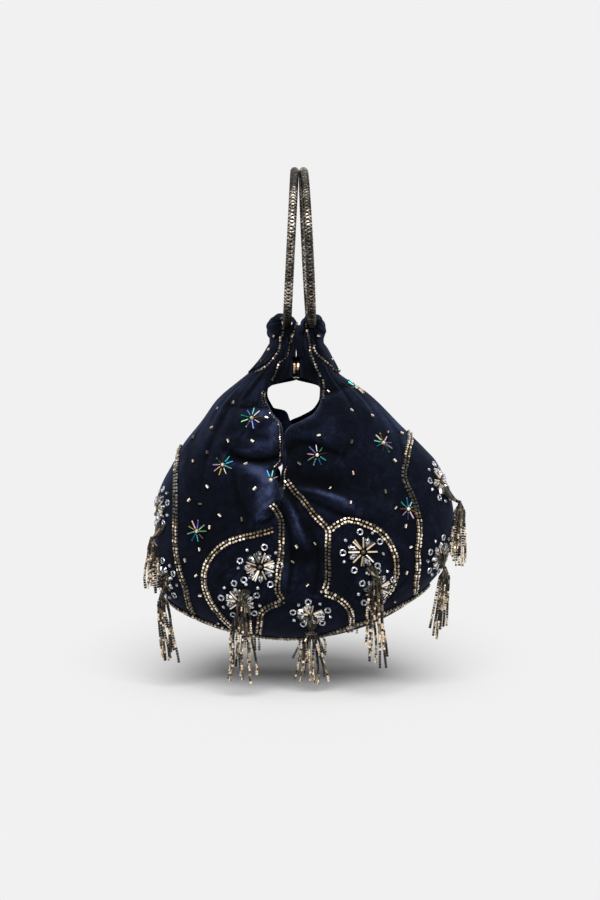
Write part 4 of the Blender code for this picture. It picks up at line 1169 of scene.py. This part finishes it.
# Crystal flowers: eight spokes of champagne bugles round a dark bead, with clear cut navettes in between
# and a ring of ring sequins and small domes round them. All are sewn flat on the velvet.
def lathe(outline, sides):
    """A turned shape about Z from (radius, height) points, closed at the axis."""
    turns = [2 * pi * k / sides for k in range(sides)]
    points = np.array([(r * cos(turn), r * sin(turn), z) for r, z in outline for turn in turns])
    faces = ring_faces(len(outline), sides)
    return points, faces, points[faces].mean(1)[:, 2] / max(z for _, z in outline)


def navette():
    """A cut boat-shaped crystal along X, of length, width and height 1, flat below."""
    around = np.linspace(0, 2 * pi, 12, endpoint=False)
    side = 0.5 * np.sin(around) * np.abs(np.sin(around)) ** 0.25
    rim = np.stack((0.5 * np.cos(around), side, 0 * around), -1)
    steps = ((0.86, 0.86, 0.0), (1.0, 1.0, 0.05), (1.0, 1.0, 0.25), (0.62, 0.55, 0.9), (0.2, 0.2, 1.0))
    return np.concatenate([rim * (x, y, 0) + (0, 0, z) for x, y, z in steps]), ring_faces(5, 12)


navette_shape = navette()
loop = 2 * pi * np.arange(8) / 8
sequin_shape = lathe([(1 + 0.36 * cos(a), 0.36 + 0.36 * sin(a)) for a in np.append(loop, 0.0)], 14)
dome_shape = lathe([(1.0, 0.0), (1.0, 0.35), (0.86, 0.75), (0.5, 1.05), (0.02, 1.15)], 8)
FLOWER_SPOTS = {
    "upper_left": ((260, 567), 14.5, 0.35), "lower_left": ((240, 601), 14.0, 0.1),
    "upper_right": ((363, 552), 14.5, 0.0), "lower_right": ((377, 588), 13.5, 0.25),
    "centre": ((311, 614), 13.5, 0.15),
}
SIDE_RADIUS, SPOKE_RADIUS, STONE_HEIGHT, SEQUIN, DOME = 0.0098, 0.00092, 0.0022, 0.0018, 0.0013
HEART = 0.0017, 0.0017, 0.0019
SIDE_FLOWERS = {
    "left_upper": (-72, 0.548), "left_lower": (-66, 0.785),
    "right_upper": (71, 0.459), "right_lower": (65, 0.706),
}

# Cut crystal: clear glass with a silvered back. Its tone paints each facet bright or dark at random, as
# painted reflections, and paints the tops of sequins and domes pale as highlight.
crystal = glass_material(
    "silver-backed cut crystal",
    ((0.0, "#0f1118"), (0.35, "#5d6068"), (0.62, "#b9bcc4"), (0.85, "#eef0f5"), (1.0, "#ffffff")),
    {"Metallic": 0.55, "Roughness": 0.12, "Coat Weight": 0.6, "Coat Roughness": 0.03},
)


def flower(word, middle, out, radius, spin, node, tall=1.0):
    """One flower about a point of the velvet, this tall for its width."""
    right, up = beside(out)
    bugles, stones = Heap(), Heap()

    def spoke(angles, reach, lift):
        ways = right * np.cos(angles)[:, None] + up * (tall * np.sin(angles))[:, None]
        outs = np.repeat(out[None], len(angles), 0)
        spots, _ = laid(middle + ways * reach, outs)
        along = spots - laid(middle + ways * (reach * 0.6), outs)[0]
        return spots + outs * lift, frames(along, outs)

    def small(shape, reach, angles, size, least, share, spread):
        # painted highlight: the higher a face, the paler, with random spread
        tones = least + share * shape[2] + dice.normal(0, spread, (5, len(shape[1])))
        stones.put(shape, *spoke(angles, radius * reach, 0.0001), size, np.clip(tones, 0, 1))

    eight = spin + 2 * pi * np.arange(8) / 8
    for shift, chosen in ((0.0, eight), (0.17, eight[dice.random(8) < 0.45])):
        spots, turns = spoke(chosen + shift, radius * 0.62, 0.0010)
        size = np.array((radius * 0.72, SPOKE_RADIUS, SPOKE_RADIUS))
        size = size * dice.uniform(0.88, 1.06, (len(chosen), 1))
        bugles.put(bead_shape, spots, turns, size, row_tones(len(chosen)) * 0.92)
    between = (eight + pi / 8 + dice.normal(0, 0.05, 8))[dice.random(8) < 0.85]
    spots, turns = spoke(between, radius * 0.74, 0.0003)
    # each facet painted bright or dark at random, as painted reflections
    tones = 0.02 + 0.98 * dice.random((len(between), len(navette_shape[1]))) ** 1.7
    stones.put(navette_shape, spots, turns, (radius * 0.66, radius * 0.42, STONE_HEIGHT), tones)
    heart, turns = spoke(np.array((spin,)), 0.00001, 0.0002)
    tones = 0.06 + 0.25 * dice.random((1, len(dome_shape[1])))
    bugles.put(dome_shape, heart, turns, HEART, tones)
    ring = spin + 2 * pi * (np.arange(5) + 0.1) / 5 + dice.normal(0, 0.10, 5)
    small(sequin_shape, 1.34, ring, SEQUIN, 0.12, 0.42, 0.24)
    small(dome_shape, 1.40, ring + pi / 5, DOME, 0.1, 0.5, 0.22)
    bugles.piece(f"{word}_spokes", champagne, "bag", node, "champagne_beads")
    stones.piece(f"{word}_stones", crystal, "bag", node, "cut_crystal")


for word, (spot, size, spin) in FLOWER_SPOTS.items():
    for face, back in FACES:
        points, ways = seen_on_velvet([spot], back)
        flower(f"{face}_{word}_bloom", points[0], np.array(ways[0]), size * POINT, spin,
               f"{face}_{word}_flower", 0.72 if word == "centre" else 1.0)
for word, (turn, height) in SIDE_FLOWERS.items():
    place = np.array([[radians(turn), height]])
    out = cloth_frame(*place.T)[2]
    points, _ = laid(cloth(*place.T), out)
    flower(f"side_{word}_bloom", points[0], out[0], SIDE_RADIUS, 0.2, f"side_{word}_flower")


# Bead tassels: each is a handful of beaded strands under a short bar of beads, which turns on the stitch.
# Near the stitch the glass is long and gunmetal, and below it short, in runs of champagne and black.
# For each: the length, how far the strands spread, how far they swing in under the cloth, and where a side
# tassel is sewn, as degrees of turn and height.
FACE_TASSELS = {"left": (0.054, 0.0195), "centre": (0.0340, 0.0235), "right": (0.060, 0.0165)}
TASSELS = {
    f"{face}_{word}": (*sizes, 0.0, None) for face, _ in FACES for word, sizes in FACE_TASSELS.items()
} | {
    "side_left_upper": (0.0365, 0.012, 0.001, (-66, 0.651)),
    "side_left_lower": (0.047, 0.0125, 0.006, (-65, 0.838)),
    "side_right_upper": (0.043, 0.013, 0.002, (71, 0.531)),
    "side_right_lower": (0.048, 0.0125, 0.0055, (66, 0.750)),
}
STRAND_RADIUS, THREAD_GAP, BAR_SHARE, LIGHT_SHARE = 0.00092, 0.00036, 0.17, 0.72
BUGLE_LENGTHS, SHORT_BEAD = (0.0026, 0.0037, 0.0048), 0.0019
gunmetal_glass = glass_material(
    "gunmetal and champagne tassel beads",
    ((0.0, "#0c0b09"), (0.22, "#2c2822"), (0.50, "#6b5f4e"), (0.75, "#bda584"), (1.0, "#f6e2c6")),
    {"Metallic": 0.6, "Roughness": 0.20},
)
strand_bead = tube_bead(((-0.5, 0.45), (-0.5, 1), (0.5, 1), (0.5, 0.45)))


def strung(heap, path, facing, dark_until=3.0):
    """Strings glass on a path: long gunmetal bugles up to this share of it, then runs of short beads."""
    run = np.concatenate(([0], np.cumsum(np.linalg.norm(np.diff(path, axis=0), axis=1))))
    lengths, tones = [], []
    while sum(lengths) < run[-1]:
        if sum(lengths) < dark_until * run[-1]:
            glass, length, tone = 1, dice.choice(BUGLE_LENGTHS), dice.uniform(0.10, 0.52)
        else:
            tone = 0.98 if dice.random() < LIGHT_SHARE else 0.16
            glass, length = dice.integers(2, 7), SHORT_BEAD
        lengths += [length] * glass
        tones += [tone] * glass
    lengths = np.array(lengths) * (run[-1] / sum(lengths))
    ends, count = np.cumsum(lengths), len(lengths)
    tones = np.array(tones) * dice.choice((0.35, 0.7, 0.9, 1.1), count, p=(0.16, 0.22, 0.36, 0.26))

    def on_path(at):
        return np.stack([np.interp(at, run, path[:, axis]) for axis in range(3)], -1)

    turns = frames(on_path(ends) - on_path(ends - lengths), facing + dice.normal(0, 0.4, (count, 3)))
    # Each face is painted brighter or darker at random, as painted glints.
    glints = dice.choice((0.35, 0.7, 1.0, 1.3), (count, len(strand_bead[1])), p=(0.22, 0.25, 0.33, 0.2))
    size = np.stack((lengths - THREAD_GAP, *[np.full(count, STRAND_RADIUS)] * 2), -1)
    heap.put(strand_bead, on_path(ends - lengths / 2), turns, size, tones[:, None] * glints)


def stitch(word):
    """Where a tassel's hinge lies, the way along its bar of beads and the way out of the cloth."""
    hinge = next(joint for joint in frame["joints"] if joint["child"] == f"{word}_tassel")
    wide = np.array(hinge["axis"], float)
    return np.array(hinge["pos_m"]), wide, np.cross((0.0, 0.0, 1.0), wide)


for word, (length, spread, inwards, _) in TASSELS.items():
    knot, wide, away = stitch(word)
    heap = Heap()
    strands = 9 if word[:4] == "side" else 8
    strung(heap, knot + np.linspace(-1, 1, 5)[:, None] * wide * (spread * BAR_SHARE), away)
    t = np.linspace(0, 1, 60)
    loose = np.minimum(1, t * 9)
    for k in range(strands):
        lean = (k - (strands - 1) / 2) / ((strands - 1) / 2)
        # neighbours lie at different depths, so that the strands of a bunch stay apart
        deep = (((k * 5) % strands) / (strands - 1) * 2 - 1) * (-1 if "side_right" in word else 1)
        reach = length * (1 - 0.26 * dice.random() ** 1.5)
        sway = dice.uniform(0.0003, 0.0011) * np.sin(2 * pi * (t * dice.uniform(0.6, 1.5) + dice.random()))
        sideways = lean * spread / 2 * (0.30 + 0.70 * t**0.8) + sway * loose
        outward = (deep * 0.0036 * (0.55 + 0.45 * t) + 0.6 * sway) * loose - inwards * t
        path = knot + wide * sideways[:, None] + away * outward[:, None]
        path = path - np.array((0, 0, 1.0)) * (0.0006 + t * reach)[:, None]
        strung(heap, path, away, dice.uniform(0.18, 0.42))
    heap.piece(f"{word}_strands", gunmetal_glass, f"{word}_tassel", f"{word}_tassel", "gunmetal_beads")

# The tassels of the front and back start in the heart of a flower, and their strands lie on the velvet
# from there to the bar of beads. Those of the sides come out of the cloth just above it.
ROOTS = {"left": (246, 589), "centre": (312, 615), "right": (370, 567)}
for word, (_, spread, _, sewn) in TASSELS.items():
    face, flower_word = word.split("_", 1)
    back = face == "back"
    knot, wide, away = stitch(word)
    foot = photo_point(knot * (1.0, -1.0 if back else 1.0, 1.0))
    heap = Heap()
    for lean in np.linspace(-1, 1, 8):
        if sewn:
            height = np.linspace(sewn[1] - 0.052, sewn[1] - 0.010, 7)
            points = cloth(radians(sewn[0]) + 0.07 * lean, height, 0.0018 + 0.0012 * (1 - lean**2))
        else:
            start = np.array(ROOTS[flower_word]) + (4.5 * lean, -1.0 + 2 * lean**2)
            points, ways = seen_on_velvet(np.linspace(start, foot + (4.5 * lean, -1.5), 10)[:9], back)
            points = points + ways * 0.0015
        free = knot + wide * spread * BAR_SHARE * lean + np.array((0, 0, 0.0014))
        share = (np.linspace(0, 1, len(points)) ** (1.7 if sewn else 3))[:, None]
        strung(heap, curved(points * (1 - share) + free * share, 30), away)
    heap.piece(f"{word}_roots", gunmetal_glass, "bag", None, "gunmetal_beads")


# Small stars of thin iridescent bugles round a rhinestone, scattered over the upper velvet
STARS = (
    (252, 418, 0.2, 9), (223, 465, 0.0, 9), (197, 531, 0.4, 9), (270.5, 480, 1.3, 3), (356, 388, 0.3, 8),
    (317, 455, 0.15, 9), (383, 443, 0.35, 9), (408, 509, 0.05, 9),
)
STAR_COLOURS = (
    "#2aa58f", "#c9b7d6", "#b3a23c", "#3f8fc4", "#5c9a5c",
    "#d8a3ac", "#7fd0c4", "#5a3038", "#6f7fc9", "#e3d9c8",
)
RAY_LENGTH, RAY_RADIUS, RHINESTONE = 0.0056, 0.00048, (0.0014, 0.0014, 0.0016)
iridescent = new_material("iridescent glass bugles")
hue = add(iridescent, "Attribute", attribute_name="hue")
surface(iridescent, hue, None, {"Metallic": 0.7, "Roughness": 0.16})
for number, (x, y, spin, rays) in enumerate(STARS):
    for face, back in FACES:
        points, ways = seen_on_velvet([(x, y)], back)
        if not len(points):
            continue
        middle, out = points[0], ways[0]
        right, up = beside(out)
        angles = spin + 2 * pi * (np.arange(rays) + dice.normal(0, 0.06, rays)) / max(rays, 9)
        radial = right * np.cos(angles)[:, None] + up * np.sin(angles)[:, None]
        outs = np.repeat(out[None], rays, 0)
        spots, _ = laid(middle + radial * 0.0048, outs)
        inner, _ = laid(middle + radial * 0.0014, outs)
        size = np.array((RAY_LENGTH, RAY_RADIUS, RAY_RADIUS)) * dice.uniform(0.80, 1.1, (rays, 1))
        star, stone = Heap(), Heap()
        star.put(bead_shape, spots + outs * 0.0006, frames(spots - inner, outs), size, 0.5)
        star = star.piece(f"{face}_star_{number}", iridescent, "bag", None, "cut_crystal")
        shades = [linear(STAR_COLOURS[(number + k * 3) % len(STAR_COLOURS)]) for k in range(rays)]
        shades = np.repeat(np.array(shades), len(bead_shape[1]), 0)
        shades[:, :3] *= dice.choice((0.12, 0.5, 1.0, 1.9), (len(shades), 1))
        write(star, "hue", "FLOAT_COLOR", "FACE", np.clip(shades, 0, 1))
        tones = 0.45 + 0.5 * dice.random((1, len(dome_shape[1])))
        stone.put(dome_shape, middle[None], frames(right[None], out[None]), RHINESTONE, tones)
        stone.piece(f"{face}_star_stone_{number}", champagne, "bag", None, "cut_crystal")


# Single gold tube beads sewn here and there on the velvet
SINGLE_BEADS = (
    (234, 403), (218, 409), (194, 438), (229, 441), (253, 442), (208, 453), (246, 465), (266, 418),
    (213, 428), (194, 462), (319, 435), (351, 442), (351, 411), (371, 416), (299, 463), (353, 473),
    (401, 434), (328, 392), (387, 433), (255, 489), (220, 515), (242, 519), (208, 487), (201, 504),
    (210, 527), (200, 549), (197, 575), (201, 595), (292, 562), (219, 622), (330, 489), (350, 503),
    (385, 492), (403, 482), (394, 461), (395, 508), (405, 526), (410, 547), (406, 572), (394, 601),
    (315, 543), (307, 585), (297, 546), (274, 335), (318, 335), (270, 350), (262, 362), (331, 360),
    (186, 560), (190, 500),
)
SINGLE_LENGTH, SINGLE_RADIUS = 0.0026, 0.00095
for face, back in FACES:
    points, ways = seen_on_velvet(SINGLE_BEADS, back)
    angles = dice.uniform(0, 2 * pi, len(points))[:, None]
    right = np.cross(ways, (0.0, 0.0, 1.0))
    along = right * np.cos(angles) + np.cross(right, ways) * np.sin(angles)
    size = np.array((SINGLE_LENGTH, SINGLE_RADIUS, SINGLE_RADIUS))
    size = size * dice.uniform(0.85, 1.15, (len(points), 1))
    heap = Heap()
    heap.put(bead_shape, points + ways * 0.0008, frames(along, ways), size, row_tones(len(points)))
    heap.piece(f"{face}_single_beads", champagne, "bag", None, "champagne_beads")


# The studio: a wide sheet of pale paper that keeps the bag's soft shadow and fades into an even pale
# ground. One very large soft light high in front throws the shadow back under the bag; two lamps are weak.
PAPER, SHADED_PAPER, ROOM_LIGHT, FLOOR, SUN_ANGLE = "#f1f1f1", "#ebebeb", 0.07, -0.3545, 58
FADE_WIDE, FADE_DEEP, FADE_FORWARD = 0.19, 0.45, 0.09
LAMP_AIM = 0.0, 0.0, -0.20

paper = bpy.data.materials.new("pale studio paper")
paper.use_nodes = True
nodes = paper.node_tree.nodes
nodes.remove(nodes["Principled BSDF"])
place = add(paper, "TexCoord")
spread = add(paper, "Mapping", ("Vector", place, "Object"),
             inputs={"Scale": (1 / FADE_WIDE, 1 / FADE_DEEP, 1.0),
                     "Location": (0.0, -FADE_FORWARD / FADE_DEEP, 0.0)})
fade = add(paper, "TexGradient", ("Vector", spread, "Vector"), gradient_type="SPHERICAL")
near = add(paper, "ValToRGB", ("Fac", fade, "Fac"), ramp=((0.0, "#000000"), (0.70, "#ffffff")))
matt = add(paper, "BsdfDiffuse", inputs={"Color": linear(SHADED_PAPER)})
even = add(paper, "Emission", inputs={"Color": linear(PAPER), "Strength": 1.0})
mixed = add(paper, "MixShader", ("Fac", near, "Color"), (1, even, "Emission"), (2, matt, "BSDF"))
paper.node_tree.links.new(mixed.outputs["Shader"], nodes["Material Output"].inputs["Surface"])

across, depths = np.meshgrid(np.linspace(-4, 4, 9), np.linspace(-4, 4, 9))
ground = new_piece("paper", np.stack((across, depths, 0 * across), -1), grid_faces(9, 9), paper)
ground.location = (0.0, 0.0, FLOOR)


def lamp(name, spot, size, power, colour):
    """A softbox of this size, or without one a very large and distant soft light, aimed at the bag."""
    light = bpy.data.lights.new(name, "AREA" if size else "SUN")
    if size:
        light.shape = "RECTANGLE"
        light.size, light.size_y = size
    else:
        light.angle = radians(SUN_ANGLE)
    light.energy = power
    light.color = linear(colour)[:3]
    stand = bpy.data.objects.new(name, light)
    stand.location = spot
    stand.rotation_euler = (Vector(LAMP_AIM) - Vector(spot)).to_track_quat("-Z", "Y").to_euler()
    bpy.context.scene.collection.objects.link(stand)
    return stand


lamps = (
    lamp("key_lamp", (0.10, -1.10, 0.84), None, 3.60, "#ffffff"),
    lamp("side_lamp", (-1.20, -0.70, 0.40), (0.5, 1.0), 0.8, "#f4f7ff"),
    lamp("top_lamp", (0.05, 0.05, 1.30), (1.0, 1.0), 5.5, "#ffffff"),
)

# The room lights the bag a little from all sides. What the eye sees of it, straight, mirrored or through
# glass, is as pale as the paper.
world = bpy.data.worlds.new("even pale room")
bpy.context.scene.world = world
world.use_nodes = True
nodes = world.node_tree.nodes
room = nodes["Background"]
room.inputs["Color"].default_value = linear("#ffffff")
room.inputs["Strength"].default_value = ROOM_LIGHT
shown = add(world, "Background", inputs={"Color": linear(PAPER)})
rays = add(world, "LightPath")
mirrored = add(world, "Math", (0, rays, "Is Glossy Ray"), (1, rays, "Is Transmission Ray"),
               operation="MAXIMUM")
either = add(world, "Math", (0, rays, "Is Camera Ray"), (1, mirrored, 0), operation="MAXIMUM")
seen = add(world, "MixShader", ("Fac", either, 0), (1, room, "Background"), (2, shown, "Background"))
world.node_tree.links.new(seen.outputs["Shader"], nodes["World Output"].inputs["Surface"])
bpy.context.scene.view_settings.view_transform = "Standard"
